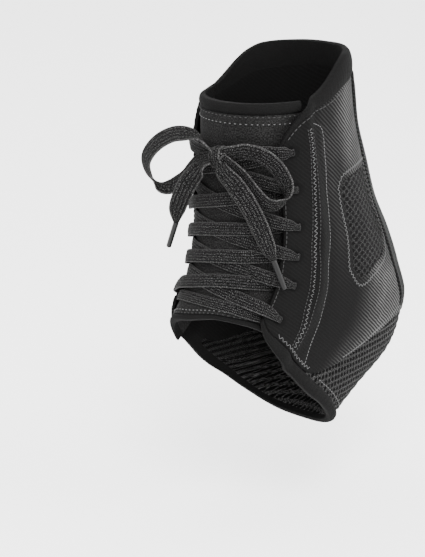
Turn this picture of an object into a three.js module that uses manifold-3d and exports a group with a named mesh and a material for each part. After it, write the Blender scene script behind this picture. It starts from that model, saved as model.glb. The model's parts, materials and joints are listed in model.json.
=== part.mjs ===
// A lace-up ankle brace in its worn shape: the ankle pointed down, the heel raised, the inside hollow.
// Millimetres, +Z up, toes to -Y, the wearer's left side at +X, origin at the ankle's centre.
//
// Every cloth piece is laid on one form, the inside of the brace. A place on the form has two numbers:
//   share  how far down it is, 0 at the leg opening and 1 at the forefoot opening
//   deg    how far round it is, 0 on the shin and instep, 90 on the left side, 180 on the heel
// and a lift, its distance out from the form.

import * as THREE from 'three';
import { mergeVertices } from 'three/addons/utils/BufferGeometryUtils.js';
import Module from 'manifold-3d';

const wasm = await Module();
wasm.setup();

// Driving sizes, in millimetres.
const RISE = 100;                // ankle centre up to the leg opening
const REACH = 84;                // ankle centre back to the heel
const HALF_WIDTH = 31;           // half of the inside width at the ankle
const GAP = 0.3;                 // clearance between pieces that touch
const SEAM = 0.004;              // the same clearance as a share of the form's length
const PANEL_THICK = 3.0;         // padded twill of the side panels
const FACING_THICK = 2.0;        // the same cloth pressed thin under the lace holes
const TONGUE_THICK = 3.4;        // middle of the tongue
const MESH_THICK = 2.2;          // windows and heel mesh
const LACE_CLEAR = 0.6;          // clearance of the lace over curved cloth
const STRIP_THICK = 1.3;         // strip over the back seam
const CHANNEL_RAISE = 1.0;       // how far the stay channel stands up
const BAND_ROLL = 1.0;           // how far the bindings swell past the panel
const LACE_WIDTH = 9;            // flat lace, lying loose
const LACE_THICK = 1.2;
const CROSSED_WIDTH = 6.4;       // the lace where it is pulled tight over the tongue
const HOLE_RADIUS = 2.5;
const AGLET_RADIUS = 1.3;
const AGLET_LENGTH = 14.5;
const KNOT_SIZE = { wide: 12.5, deep: 8.5, high: 10.5 };
const KNOT_AT = new THREE.Vector3(8, -47, 54.5);

// Places round the form, in degrees from the instep.
const FACING_EDGE = 46.5;        // front edge of a side panel
const HOLE_LINE = 55;            // line of the lace holes
const TONGUE_EDGE = 66;          // side edge of the tongue
const THICKEN_FROM = 60;         // where a panel starts to thicken from its facing
const PANEL_DOWN = 76;           // where a panel comes down from the tongue's edge onto the form
const STRIP_EDGE = 134;          // side edge of the back strip
const BACK = 180;
const SEAM_DEG = 0.5;            // clearance at the back seam

// Cross-sections of the form from the leg opening down to just past the forefoot opening, one every
// tenth of the way. Out and up are shares of REACH and RISE, wide a share of HALF_WIDTH; full is the
// squareness of the front and back halves, and pinch narrows the back beside the heel cord.
const FORM = [
  {
    frontOut: -0.44, frontUp: 0.95, backOut: 0.42, backUp: 0.98, wide: 0.98,
    frontFull: 2.1, backFull: 2.1, pinch: 0.10,
  },
  {
    frontOut: -0.43, frontUp: 0.77, backOut: 0.48, backUp: 0.79, wide: 0.98,
    frontFull: 2.15, backFull: 2.0, pinch: 0.16,
  },
  {
    frontOut: -0.43, frontUp: 0.60, backOut: 0.55, backUp: 0.59, wide: 0.98,
    frontFull: 2.2, backFull: 1.95, pinch: 0.24,
  },
  {
    frontOut: -0.43, frontUp: 0.45, backOut: 0.655, backUp: 0.39, wide: 1.02,
    frontFull: 2.25, backFull: 1.9, pinch: 0.31,
  },
  {
    frontOut: -0.44, frontUp: 0.31, backOut: 0.76, backUp: 0.18, wide: 1.05,
    frontFull: 2.35, backFull: 1.9, pinch: 0.36,
  },
  {
    frontOut: -0.45, frontUp: 0.19, backOut: 0.905, backUp: -0.02, wide: 1.05,
    frontFull: 2.45, backFull: 1.9, pinch: 0.37,
  },
  {
    frontOut: -0.475, frontUp: 0.08, backOut: 1.00, backUp: -0.21, wide: 1.02,
    frontFull: 2.6, backFull: 2.1, pinch: 0.33,
  },
  {
    frontOut: -0.50, frontUp: -0.01, backOut: 1.05, backUp: -0.42, wide: 1.00,
    frontFull: 2.7, backFull: 2.4, pinch: 0.22,
  },
  {
    frontOut: -0.535, frontUp: -0.09, backOut: 0.89, backUp: -0.62, wide: 1.00,
    frontFull: 2.8, backFull: 2.8, pinch: 0.10,
  },
  {
    frontOut: -0.57, frontUp: -0.17, backOut: 0.535, backUp: -0.77, wide: 1.02,
    frontFull: 2.9, backFull: 3.1, pinch: 0.04,
  },
  {
    frontOut: -0.605, frontUp: -0.24, backOut: 0.20, backUp: -0.92, wide: 1.05,
    frontFull: 2.9, backFull: 3.3, pinch: 0,
  },
  {
    frontOut: -0.655, frontUp: -0.33, backOut: -0.12, backUp: -1.10, wide: 1.10,
    frontFull: 2.9, backFull: 3.3, pinch: 0,
  },
];

// The leg opening: edge is the collar's top edge, low its lower edge, as shares down the form.
const COLLAR = [
  { deg: 46.5, edge: 0.206, low: 0.218 },
  { deg: 52, edge: 0.168, low: 0.182 },
  { deg: 58, edge: 0.138, low: 0.153 },
  { deg: 66, edge: 0.110, low: 0.129 },
  { deg: 74, edge: 0.090, low: 0.118 },
  { deg: 82, edge: 0.075, low: 0.111 },
  { deg: 90, edge: 0.057, low: 0.103 },
  { deg: 98, edge: 0.038, low: 0.092 },
  { deg: 108, edge: 0.018, low: 0.081 },
  { deg: 121, edge: 0.004, low: 0.075 },
  { deg: 150, edge: 0.002, low: 0.068 },
  { deg: 180, edge: 0.004, low: 0.066 },
];

// The forefoot opening: cloth is where the panel ends, inner and edge are the band's two edges.
const FOREFOOT = [
  { deg: 46.5, cloth: 0.881, inner: 0.885, edge: 0.908 },
  { deg: 52, cloth: 0.924, inner: 0.928, edge: 0.962 },
  { deg: 60, cloth: 0.940, inner: 0.944, edge: 0.990 },
  { deg: 70, cloth: 0.955, inner: 0.959, edge: 1.003 },
  { deg: 82, cloth: 0.965, inner: 0.969, edge: 1.003 },
  { deg: 91, cloth: 0.950, inner: 0.970, edge: 1.003 },
  { deg: 100, cloth: 0.889, inner: 0.969, edge: 0.999 },
  { deg: 105, cloth: 0.846, inner: 0.968, edge: 0.995 },
  { deg: 110, cloth: 0.804, inner: 0.968, edge: 0.992 },
  { deg: 119, cloth: 0.762, inner: 0.969, edge: 0.990 },
  { deg: 134, cloth: 0.727, inner: 0.970, edge: 0.988 },
  { deg: 180, cloth: 0.710, inner: 0.970, edge: 0.988 },
];
const HEEL_MESH_START = 91;      // degrees where the heel mesh comes to its point

// The mesh window: its top and foot as shares down the form.
const WINDOW = [
  { deg: 89, top: 0.350, foot: 0.600 },
  { deg: 93, top: 0.326, foot: 0.644 },
  { deg: 97, top: 0.319, foot: 0.646 },
  { deg: 104, top: 0.312, foot: 0.622 },
  { deg: 112, top: 0.308, foot: 0.596 },
  { deg: 122, top: 0.305, foot: 0.566 },
  { deg: 132, top: 0.304, foot: 0.510 },
];

// The stay channel: from its double stitch line to its single one, in degrees, at shares down the form.
const CHANNEL = [
  { share: 0.15, front: 69, back: 77 },
  { share: 0.19, front: 69, back: 81 },
  { share: 0.25, front: 68, back: 80 },
  { share: 0.40, front: 66, back: 77 },
  { share: 0.60, front: 65, back: 74 },
  { share: 0.73, front: 65, back: 74 },
  { share: 0.82, front: 67, back: 76 },
  { share: 0.90, front: 69, back: 79 },
  { share: 0.96, front: 70, back: 82 },
];

// The tongue's lower end, cut a little askew.
const TONGUE_FOOT = [
  { deg: -66, share: 1.030 },
  { deg: -30, share: 1.030 },
  { deg: -13, share: 1.026 },
  { deg: 0, share: 1.008 },
  { deg: 16, share: 0.982 },
  { deg: 30, share: 0.964 },
  { deg: 46, share: 0.938 },
  { deg: 66, share: 0.925 },
];
const TONGUE_TOP = 0.093;
const BINDING = 0.030;           // width of the tongue's bindings, as a share down the form

// Rows of lace holes, top to bottom.
const LACE_ROWS = [0.222, 0.335, 0.455, 0.570, 0.700, 0.865];

// One crossing of the lace, from above its own facing to below the far one. Reach is 1 at its own
// hole and -1 at the far one; perch is 0 on the tongue and 1 on the facing; over is how many lace
// thicknesses the upper of two crossing strands is lifted; wide is a share of CROSSED_WIDTH.
const CROSSING = [
  { reach: 0.90, perch: 1, over: 0, wide: 0.80 },
  { reach: 0.80, perch: 1, over: 0, wide: 0.95 },
  { reach: 0.68, perch: 0.5, over: 0.3, wide: 1 },
  { reach: 0.55, perch: 0.1, over: 0.9, wide: 1 },
  { reach: 0.40, perch: 0, over: 1.1, wide: 1 },
  { reach: 0.20, perch: 0, over: 1.15, wide: 1 },
  { reach: 0, perch: 0, over: 1.15, wide: 1 },
  { reach: -0.20, perch: 0, over: 1.15, wide: 1 },
  { reach: -0.40, perch: 0, over: 1.1, wide: 1 },
  { reach: -0.52, perch: 0, over: 0.9, wide: 1 },
  { reach: -0.66, perch: 0, over: 0.2, wide: 1 },
  { reach: -0.80, perch: 0, over: 0, wide: 0.95 },
  { reach: -0.90, perch: 0, over: 0, wide: 0.75 },
];

// The turn of the lace inside a hole, from below the facing to above it. Away is millimetres from
// the hole's centre, away from the tongue's middle; rise is 0 below the facing and 1 above it.
const TURN = [
  { away: -1.7, rise: 0 },
  { away: -0.1, rise: 0.06 },
  { away: 0.35, rise: 0.28 },
  { away: 0.35, rise: 0.72 },
  { away: -0.1, rise: 0.94 },
  { away: -1.7, rise: 1 },
];
const TURN_WIDE = 3.2;           // width of the lace bunched in a hole

// The last part of each side's lace, from its top hole up to the knot.
const TO_KNOT = {
  1: [
    { deg: 40, share: 0.220, lift: 7.4 },
    { deg: 32, share: 0.219, lift: 7.8 },
    { deg: 23, share: 0.224, lift: 8.0 },
    { deg: 14, share: 0.238, lift: 8.7 },
  ],
  '-1': [
    { deg: -38, share: 0.226, lift: 7.4 },
    { deg: -24, share: 0.228, lift: 7.9 },
    { deg: -10, share: 0.232, lift: 8.2 },
    { deg: 6, share: 0.238, lift: 9.0 },
  ],
};

// Routes of the bow: hand-placed points, the way the lace's flat side lies, and widths along it.
const LOOP_LEFT = {
  route: [
    [4.9, -48.5, 56.6], [-1.4, -52, 62.9], [-11.7, -54, 63.7], [-20.1, -55.5, 60.4], [-28, -56, 54.1],
    [-32, -55.5, 47.7], [-30.7, -54, 40.9], [-26.8, -52, 36.8], [-21.7, -50.5, 36.4], [-17.1, -49, 38.8],
    [-12.8, -48.3, 42.1], [-8.6, -48.3, 47], [-3.8, -48.5, 51.8], [4, -48.5, 54.6],
  ],
  across: [1.1, -0.75, -0.35],
  wide: [0.62, 0.9, 1, 1, 1, 1, 1, 1, 1, 0.95, 0.85, 0.7, 0.55],
  steps: 28,
};
const LOOP_RIGHT = {
  route: [
    [11, -47.5, 56.5], [15.5, -46.7, 57.8], [20.1, -43.6, 58.6], [25.5, -39, 57], [29.3, -35, 53.4],
    [32.2, -31.4, 47.8], [33.9, -29.2, 41.2], [33.8, -30, 36.1], [31.4, -33.4, 33.4], [28, -36.4, 33.8],
    [24, -39.4, 38.4], [20.2, -42.2, 44.5], [17.4, -45.9, 50.2], [12, -48.4, 54.9],
  ],
  across: [0.75, -0.1, 0.9],
  wide: [0.55, 0.8, 1, 1, 1, 0.95, 0.9, 0.85, 0.85, 0.85, 0.8, 0.65, 0.5],
  steps: 26,
};
const END_LEFT = {
  route: [
    [5.6, -50.4, 52.2], [1.8, -54.0, 49.2], [-3.3, -55, 43.3], [-8.6, -55, 34.9],
    [-13, -54, 26.8], [-14.5, -53, 20.6],
  ],
  across: [0.75, 0.3, 0.4],
  wide: [0.5, 0.85, 1, 1, 0.85, 0.28],
  steps: 15,
  tip: [-23.3, -50.6, 4],
};
const END_RIGHT = {
  route: [
    [11.2, -49.4, 52.2], [14.4, -51.4, 49.4], [18.4, -48, 43.4], [23, -42.8, 32.7], [26.5, -38.9, 21.8],
    [29, -36.2, 12.7], [30.7, -34.4, 7],
  ],
  across: [0.75, 0.55, 0.45],
  wide: [0.5, 0.8, 1, 1, 0.95, 0.8, 0.28],
  steps: 17,
  tip: [33.6, -29.6, -8],
};

// Reading the tables.

/** A smooth value between the rows of a table whose rows stand at increasing values of key. */
function read(table, key, at, column) {
  const last = table.length - 1;
  const place = THREE.MathUtils.clamp(at, table[0][key], table[last][key]);
  let i = 0;
  while (i < last - 1 && place > table[i + 1][key]) i += 1;
  const [a, b] = [table[i], table[i + 1]];
  const [before, after] = [table[Math.max(i - 1, 0)], table[Math.min(i + 2, last)]];
  const width = b[key] - a[key];
  const t = (place - a[key]) / width;
  const inSlope = ((b[column] - before[column]) / (b[key] - before[key])) * width;
  const outSlope = ((after[column] - a[column]) / (after[key] - a[key])) * width;
  const [t2, t3] = [t * t, t * t * t];
  return a[column] * (2 * t3 - 3 * t2 + 1) + inSlope * (t3 - 2 * t2 + t)
    + b[column] * (3 * t2 - 2 * t3) + outSlope * (t3 - t2);
}

/** The form's cross-section at a share of the way down, each column run smoothly through the rows. */
function section(share) {
  const last = FORM.length - 1;
  const place = THREE.MathUtils.clamp(share * 10, 0, last);
  const i = Math.min(Math.floor(place), last - 1);
  const t = place - i;
  const out = {};
  for (const column of Object.keys(FORM[0])) {
    const [b, c] = [FORM[i][column], FORM[i + 1][column]];
    const a = i > 0 ? FORM[i - 1][column] : 2 * b - c;
    const d = i < last - 1 ? FORM[i + 2][column] : 2 * c - b;
    out[column] = 0.5 * (2 * b + (c - a) * t + (2 * a - 5 * b + 4 * c - d) * t * t
      + (3 * b - a - 3 * c + d) * t * t * t);
  }
  return out;
}

/** A point on the form itself. */
function onForm(share, deg) {
  const cut = section(share);
  const turn = THREE.MathUtils.degToRad(deg);
  const [cos, sin] = [Math.cos(turn), Math.sin(turn)];
  const full = cos > 0 ? cut.frontFull : cut.backFull;
  const forth = Math.sign(cos) * Math.sqrt(Math.max(0, 1 - Math.abs(sin) ** full));
  const narrow = 1 - cut.pinch * ((1 - cos) / 2) ** 2;
  return new THREE.Vector3(
    HALF_WIDTH * cut.wide * sin * narrow,
    REACH * ((cut.frontOut + cut.backOut) / 2 - forth * (cut.backOut - cut.frontOut) / 2),
    RISE * ((cut.frontUp + cut.backUp) / 2 - forth * (cut.backUp - cut.frontUp) / 2),
  );
}

/** Unit directions at a place on the form: down its length, round it, and straight out of it. */
function directions(share, deg) {
  const at = THREE.MathUtils.clamp(share, 0.002, 1.098);
  const down = onForm(at + 0.001, deg).sub(onForm(at - 0.001, deg)).normalize();
  const round = onForm(at, deg + 0.2).sub(onForm(at, deg - 0.2)).normalize();
  const out = new THREE.Vector3().crossVectors(down, round).normalize();
  return { down, round, out };
}

/** A point lifted off the form. */
function lifted(share, deg, lift) {
  return onForm(share, deg).addScaledVector(directions(share, deg).out, lift);
}

// How high the layers lie over the form.

const near = (deg) => BACK - Math.abs(BACK - Math.abs(deg));
const smooth = (from, to, at) => THREE.MathUtils.smoothstep(at, from, to);

/** Top of the tongue, thinner toward its side edges. */
const tongueTop = (deg) => TONGUE_THICK * (1 - 0.45 * Math.min(1, Math.abs(deg) / TONGUE_EDGE) ** 2);

/** Underside of a side panel: it rides over the tongue and the lace, then comes down on the form. */
function panelUnder(deg) {
  const at = near(deg);
  const riding = tongueTop(Math.min(at, TONGUE_EDGE)) + LACE_THICK + 2 * LACE_CLEAR;
  return riding * (1 - smooth(TONGUE_EDGE, PANEL_DOWN, at));
}

/** Outside of a side panel without its stay channel. */
function panelTop(deg) {
  const within = smooth(THICKEN_FROM, PANEL_DOWN, near(deg));
  const thick = THREE.MathUtils.lerp(FACING_THICK, PANEL_THICK, within);
  return panelUnder(deg) + thick;
}

/** Outside of a side panel with the raised stay channel. */
function panelRaised(share, deg) {
  const front = read(CHANNEL, 'share', share, 'front');
  const back = read(CHANNEL, 'share', share, 'back');
  const across = (near(deg) - front) / (back - front);
  const ends = smooth(0.14, 0.18, share);
  const raised = across > 0 && across < 1 ? Math.sin(Math.PI * across) ** 0.6 : 0;
  return panelTop(deg) + CHANNEL_RAISE * raised * ends;
}

// Closed solids from grids of points.

/** A closed body from points and triangles, turned so that its faces point out. */
function closedBody(points, faces) {
  const volume = faces.reduce((sum, [a, b, c]) =>
    sum + points[a].dot(new THREE.Vector3().crossVectors(points[b], points[c])), 0);
  const geometry = new THREE.BufferGeometry().setFromPoints(points);
  geometry.setIndex(faces.flatMap(([a, b, c]) => (volume < 0 ? [a, c, b] : [a, b, c])));
  return geometry;
}

/** A layer of cloth: a grid of places on the form between an underside and an outside. */
function layer({ columns, rows, where, under, over }) {
  const points = [];
  for (const lift of [under, over]) {
    for (let j = 0; j <= rows; j += 1) {
      for (let i = 0; i <= columns; i += 1) {
        const [share, deg] = where(i / columns, j / rows);
        points.push(lifted(share, deg, lift(share, deg, j / rows)));
      }
    }
  }
  const wide = columns + 1;
  const outside = wide * (rows + 1);
  const faces = [];
  const quad = (a, b, c, d) => faces.push([a, b, c], [a, c, d]);
  for (let j = 0; j < rows; j += 1) {
    for (let i = 0; i < columns; i += 1) {
      const a = j * wide + i;
      quad(outside + a, outside + a + 1, outside + a + wide + 1, outside + a + wide);
      quad(a, a + wide, a + wide + 1, a + 1);
    }
  }
  for (let i = 0; i < columns; i += 1) {
    const foot = rows * wide + i;
    quad(i, i + 1, outside + i + 1, outside + i);
    quad(foot + 1, foot, outside + foot, outside + foot + 1);
  }
  for (let j = 0; j < rows; j += 1) {
    const [a, b] = [j * wide, (j + 1) * wide];
    quad(b, a, outside + a, outside + b);
    quad(a + columns, b + columns, outside + b + columns, outside + a + columns);
  }
  return closedBody(points, faces);
}

/** A flat lace: six-sided rings at stops that give a point, the way across, a width and a thickness. */
function ribbon(stops) {
  const profile = [[-0.5, 0], [-0.36, 0.5], [0.36, 0.5], [0.5, 0], [0.36, -0.5], [-0.36, -0.5]];
  const points = [];
  stops.forEach((stop, i) => {
    const before = stops[Math.max(i - 1, 0)].point;
    const after = stops[Math.min(i + 1, stops.length - 1)].point;
    const along = after.clone().sub(before).normalize();
    const across = stop.across.clone().addScaledVector(along, -stop.across.dot(along)).normalize();
    const face = new THREE.Vector3().crossVectors(along, across);
    for (const [x, y] of profile) {
      points.push(stop.point.clone()
        .addScaledVector(across, x * stop.width)
        .addScaledVector(face, y * stop.thick));
    }
  });
  const sides = profile.length;
  const faces = [];
  for (let i = 0; i < stops.length - 1; i += 1) {
    for (let j = 0; j < sides; j += 1) {
      const [a, b] = [i * sides + j, i * sides + ((j + 1) % sides)];
      faces.push([a, b, b + sides], [a, b + sides, a + sides]);
    }
  }
  const end = (stops.length - 1) * sides;
  for (let j = 1; j < sides - 1; j += 1) {
    faces.push([0, j + 1, j], [end, end + j, end + j + 1]);
  }
  return closedBody(points, faces);
}

/** A solid that can be cut, from a closed geometry whose triangles share their corners. */
function toSolid(geometry) {
  return new wasm.Manifold(new wasm.Mesh({
    numProp: 3,
    vertProperties: new Float32Array(geometry.attributes.position.array),
    triVerts: new Uint32Array(geometry.index.array),
  }));
}

/** The geometry of a cut solid. */
function toGeometry(solid) {
  const mesh = solid.getMesh();
  const geometry = new THREE.BufferGeometry();
  geometry.setAttribute('position', new THREE.BufferAttribute(new Float32Array(mesh.vertProperties), 3));
  geometry.setIndex(new THREE.BufferAttribute(new Uint32Array(mesh.triVerts), 1));
  return geometry;
}

/** A geometry with several others cut out of it. */
function cut(geometry, cutters) {
  let solid = toSolid(geometry);
  for (const cutter of cutters) solid = solid.subtract(toSolid(cutter));
  return toGeometry(solid);
}

/** A round bar between two points. */
function peg(from, to, radius, sides) {
  const axis = to.clone().sub(from).normalize();
  const side = new THREE.Vector3(0, 0, 1).cross(axis).normalize();
  const up = new THREE.Vector3().crossVectors(axis, side);
  const points = [from.clone(), to.clone()];
  const faces = [];
  for (let i = 0; i < sides; i += 1) {
    const turn = (2 * Math.PI * i) / sides;
    const out = side.clone().multiplyScalar(Math.cos(turn)).addScaledVector(up, Math.sin(turn));
    points.push(from.clone().addScaledVector(out, radius), to.clone().addScaledVector(out, radius));
    const [a, b] = [2 + 2 * i, 2 + 2 * ((i + 1) % sides)];
    faces.push([0, b, a], [1, a + 1, b + 1], [a, b, b + 1], [a, b + 1, a + 1]);
  }
  return closedBody(points, faces);
}

// The cloth pieces.

/** The cutter that opens a window or a lace hole: a round bar through the panel. */
function holeCutter(side, share) {
  return peg(lifted(share, side * HOLE_LINE, -1), lifted(share, side * HOLE_LINE, 12), HOLE_RADIUS, 10);
}

/** The mesh window's outline on the form, grown by a margin all round. */
function windowSpot(side, margin) {
  const [first, last] = [WINDOW[0].deg, WINDOW[WINDOW.length - 1].deg];
  return (u, v) => {
    const deg = THREE.MathUtils.lerp(first, last, u);
    const top = read(WINDOW, 'deg', deg, 'top') - margin;
    const foot = read(WINDOW, 'deg', deg, 'foot') + margin;
    const spread = (u * 2 - 1) * margin * 100;
    return [THREE.MathUtils.lerp(top, foot, v), side * (deg + spread)];
  };
}

/** A side panel with its stay channel, its six lace holes and its window opening. */
function sidePanel(side) {
  const cloth = layer({
    columns: 18,
    rows: 15,
    where: (u, v) => {
      const deg = THREE.MathUtils.lerp(FACING_EDGE, BACK - SEAM_DEG, u);
      const top = read(COLLAR, 'deg', deg, 'low') + SEAM;
      return [THREE.MathUtils.lerp(top, read(FOREFOOT, 'deg', deg, 'cloth'), v), side * deg];
    },
    under: (share, deg) => panelUnder(deg),
    over: (share, deg) => panelRaised(share, deg),
  });
  const opening = layer({
    columns: 8,
    rows: 8,
    where: windowSpot(side, 0),
    under: () => -3,
    over: () => 8,
  });
  return cut(cloth, [opening, ...LACE_ROWS.map((share) => holeCutter(side, share))]);
}

/** The spacer mesh set into a window. */
function windowMesh(side) {
  return layer({
    columns: 8,
    rows: 8,
    where: windowSpot(side, -SEAM),
    under: () => 0,
    over: () => MESH_THICK,
  });
}

/** The ribbed mesh under the heel and sole, from one side to the other. */
function heelMesh() {
  return layer({
    columns: 26,
    rows: 5,
    where: (u, v) => {
      const deg = THREE.MathUtils.lerp(HEEL_MESH_START, 2 * BACK - HEEL_MESH_START, u);
      const top = read(FOREFOOT, 'deg', near(deg), 'cloth') + SEAM;
      return [THREE.MathUtils.lerp(top, read(FOREFOOT, 'deg', near(deg), 'inner') - SEAM, v), deg];
    },
    under: () => 0,
    over: () => MESH_THICK,
  });
}

/** The strip over the back seam, from the collar round the heel. */
function backStrip() {
  const foot = read(FOREFOOT, 'deg', BACK, 'cloth') - SEAM;
  const rise = (share, deg) => panelTop(deg) + 2 * GAP;
  return layer({
    columns: 8,
    rows: 16,
    where: (u, v) => [
      THREE.MathUtils.lerp(read(COLLAR, 'deg', BACK, 'low') + 2 * SEAM, foot, v),
      THREE.MathUtils.lerp(STRIP_EDGE, 2 * BACK - STRIP_EDGE, u),
    ],
    under: rise,
    over: (share, deg) => rise(share, deg) + STRIP_THICK,
  });
}

/** A binding round an opening, from one facing round to the other, swollen along its middle. */
function band(table, upper, lower) {
  return layer({
    columns: 36,
    rows: 3,
    where: (u, v) => {
      const deg = THREE.MathUtils.lerp(FACING_EDGE, 2 * BACK - FACING_EDGE, u);
      const [from, to] = [read(table, 'deg', near(deg), upper), read(table, 'deg', near(deg), lower)];
      return [THREE.MathUtils.lerp(from, to, v), deg];
    },
    under: (share, deg) => panelUnder(deg),
    over: (share, deg, v) => {
      const roll = BAND_ROLL * smooth(52, 80, near(deg));
      return panelTop(deg) - 0.8 + (roll + 0.8) * Math.sin(Math.PI * v) ** 0.5;
    },
  });
}

/** The shares down the form where the tongue and its two bindings begin and end. */
const tongueFoot = (deg) => read(TONGUE_FOOT, 'deg', deg, 'share');

/** A length of the tongue between two lines across it. */
function tonguePiece(rows, from, to, over) {
  return layer({
    columns: 12,
    rows,
    where: (u, v) => {
      const deg = THREE.MathUtils.lerp(-TONGUE_EDGE, TONGUE_EDGE, u);
      return [THREE.MathUtils.lerp(from(deg), to(deg), v), deg];
    },
    under: () => 0,
    over,
  });
}

const tongueBody = () => tonguePiece(
  20,
  () => TONGUE_TOP + BINDING,
  (deg) => tongueFoot(deg) - BINDING,
  (share, deg) => tongueTop(deg),
);

const bindingLift = (share, deg, v) => tongueTop(deg) - 0.6 + 0.8 * Math.sin(Math.PI * v) ** 0.5;

const tongueBindingTop = () => tonguePiece(
  3,
  () => TONGUE_TOP,
  () => TONGUE_TOP + BINDING - SEAM,
  bindingLift,
);

const tongueBindingBottom = () => tonguePiece(
  3,
  (deg) => tongueFoot(deg) - BINDING + SEAM,
  tongueFoot,
  bindingLift,
);

// The lace, its bow and its tips.

/** Height of the lace's middle resting on the tongue, and lying on a facing. */
const resting = (deg) => tongueTop(Math.min(Math.abs(deg), TONGUE_EDGE)) + LACE_CLEAR + LACE_THICK / 2;
const perched = (deg) => panelTop(deg) + LACE_CLEAR + LACE_THICK / 2;

/** A stop of the crossed lace at a place on the form. */
function laceStop(share, deg, lift, wide) {
  return {
    point: lifted(share, deg, lift),
    across: directions(share, deg).down,
    width: wide * CROSSED_WIDTH,
    thick: LACE_THICK,
  };
}

/** One crossing from a hole on a side to the next row's hole on the other side. */
function crossing(side, row) {
  const upper = side < 0;
  return CROSSING.map(({ reach, perch, over, wide }) => {
    const deg = side * reach * HOLE_LINE;
    const share = THREE.MathUtils.lerp(LACE_ROWS[row - 1], LACE_ROWS[row], (1 + reach) / 2);
    const lift = THREE.MathUtils.lerp(resting(deg), perched(deg), perch)
      + (upper ? over * (LACE_THICK + LACE_CLEAR) : 0);
    return laceStop(share, deg, lift, wide);
  });
}

/** The turn of the lace up through a hole. */
function turn(side, row) {
  const share = LACE_ROWS[row];
  const { down, round } = directions(share, side * HOLE_LINE);
  return TURN.map(({ away, rise }) => {
    const lift = THREE.MathUtils.lerp(resting(HOLE_LINE), perched(HOLE_LINE), rise);
    return {
      point: lifted(share, side * HOLE_LINE, lift).addScaledVector(round, side * away),
      across: down,
      width: TURN_WIDE,
      thick: LACE_THICK,
    };
  });
}

/** The lace from the middle of its lowest bar up one way to the knot. */
function laceRun(side) {
  const lowest = LACE_ROWS.length - 1;
  const stops = [0.16, 0.32, 0.48, 0.66, 0.80, 0.90].map((reach) => {
    const deg = side * reach * HOLE_LINE;
    const sag = 0.022 * Math.min(1, 4 * (1 - reach));
    return laceStop(LACE_ROWS[lowest] + sag, deg, resting(deg), 0.8);
  });
  let at = side;
  for (let row = lowest; row > 0; row -= 1) {
    stops.push(...turn(at, row), ...crossing(at, row));
    at = -at;
  }
  stops.push(...turn(at, 0));
  for (const reach of [0.90, 0.80]) {
    stops.push(laceStop(LACE_ROWS[0], at * reach * HOLE_LINE, perched(at * reach * HOLE_LINE), 0.95));
  }
  for (const { deg, share, lift } of TO_KNOT[at]) stops.push(laceStop(share, deg, lift, 0.95));
  return stops;
}

/** The whole crossed lace: both ways up from its lowest bar, kept clear of the knot. */
function lacing() {
  const middle = laceStop(LACE_ROWS[LACE_ROWS.length - 1] + 0.022, 0, resting(0), 0.8);
  const stops = [...laceRun(-1).reverse(), middle, ...laceRun(1)];
  return cut(ribbon(stops), [knotBody(GAP)]);
}

/** The knot, a squarish lump, grown by a margin. */
function knotBody(margin) {
  const ball = new THREE.SphereGeometry(1, 14, 10);
  ball.deleteAttribute('normal');
  ball.deleteAttribute('uv');
  const body = mergeVertices(ball);
  const grow = (size) => size / 2 + margin;
  body.scale(grow(KNOT_SIZE.wide), grow(KNOT_SIZE.deep), grow(KNOT_SIZE.high));
  return body.translate(KNOT_AT.x, KNOT_AT.y, KNOT_AT.z);
}

/** A loose length of lace along its route, kept clear of the knot. */
function looseLace({ route, across, wide, steps }) {
  const points = route.map((point) => new THREE.Vector3(...point));
  const curve = new THREE.CatmullRomCurve3(points, false, 'centripetal');
  const widths = wide.map((value, i) => ({ at: i / (wide.length - 1), value }));
  const stops = Array.from({ length: steps + 1 }, (_, i) => ({
    point: curve.getPointAt(i / steps),
    across: new THREE.Vector3(...across),
    width: LACE_WIDTH * read(widths, 'at', i / steps, 'value'),
    thick: LACE_THICK,
  }));
  return cut(ribbon(stops), [knotBody(GAP)]);
}

/** The aglet that carries on from a lace end. */
function aglet({ route, tip }) {
  const start = new THREE.Vector3(...route[route.length - 1]);
  const along = new THREE.Vector3(...tip).sub(start).normalize();
  const from = start.clone().addScaledVector(along, 2 * GAP);
  return peg(from, from.clone().addScaledVector(along, AGLET_LENGTH), AGLET_RADIUS, 10);
}

// Materials.

const cloth = (color, roughness) => () => new THREE.MeshStandardMaterial({ color, roughness, metalness: 0 });
const twill = cloth('#3a3838', 0.8);
const binding = cloth('#262423', 0.9);
const mesh = cloth('#232221', 0.85);
const ribbed = cloth('#2b2a29', 0.85);
const brushed = cloth('#3b3736', 0.95);
const woven = cloth('#333131', 0.85);
const tip = cloth('#201f1f', 0.35);

// The brace.

const pieces = [
  ['panel_left', sidePanel(1), twill],
  ['panel_right', sidePanel(-1), twill],
  ['window_left', windowMesh(1), mesh],
  ['window_right', windowMesh(-1), mesh],
  ['heel_mesh', heelMesh(), ribbed],
  ['back_strip', backStrip(), twill],
  ['collar_band', band(COLLAR, 'edge', 'low'), binding],
  ['forefoot_band', band(FOREFOOT, 'inner', 'edge'), binding],
  ['tongue', tongueBody(), brushed],
  ['tongue_binding_top', tongueBindingTop(), binding],
  ['tongue_binding_bottom', tongueBindingBottom(), binding],
  ['lacing', lacing(), woven],
  ['knot', knotBody(0), woven],
  ['bow_loop_left', looseLace(LOOP_LEFT), woven],
  ['bow_loop_right', looseLace(LOOP_RIGHT), woven],
  ['lace_end_left', looseLace(END_LEFT), woven],
  ['lace_end_right', looseLace(END_RIGHT), woven],
  ['aglet_left', aglet(END_LEFT), tip],
  ['aglet_right', aglet(END_RIGHT), tip],
];

const brace = new THREE.Group();
brace.name = 'ankle_brace';
for (const [name, geometry, material] of pieces) {
  geometry.computeVertexNormals();
  const piece = new THREE.Mesh(geometry, material());
  piece.name = name;
  brace.add(piece);
}

export default brace;
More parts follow.
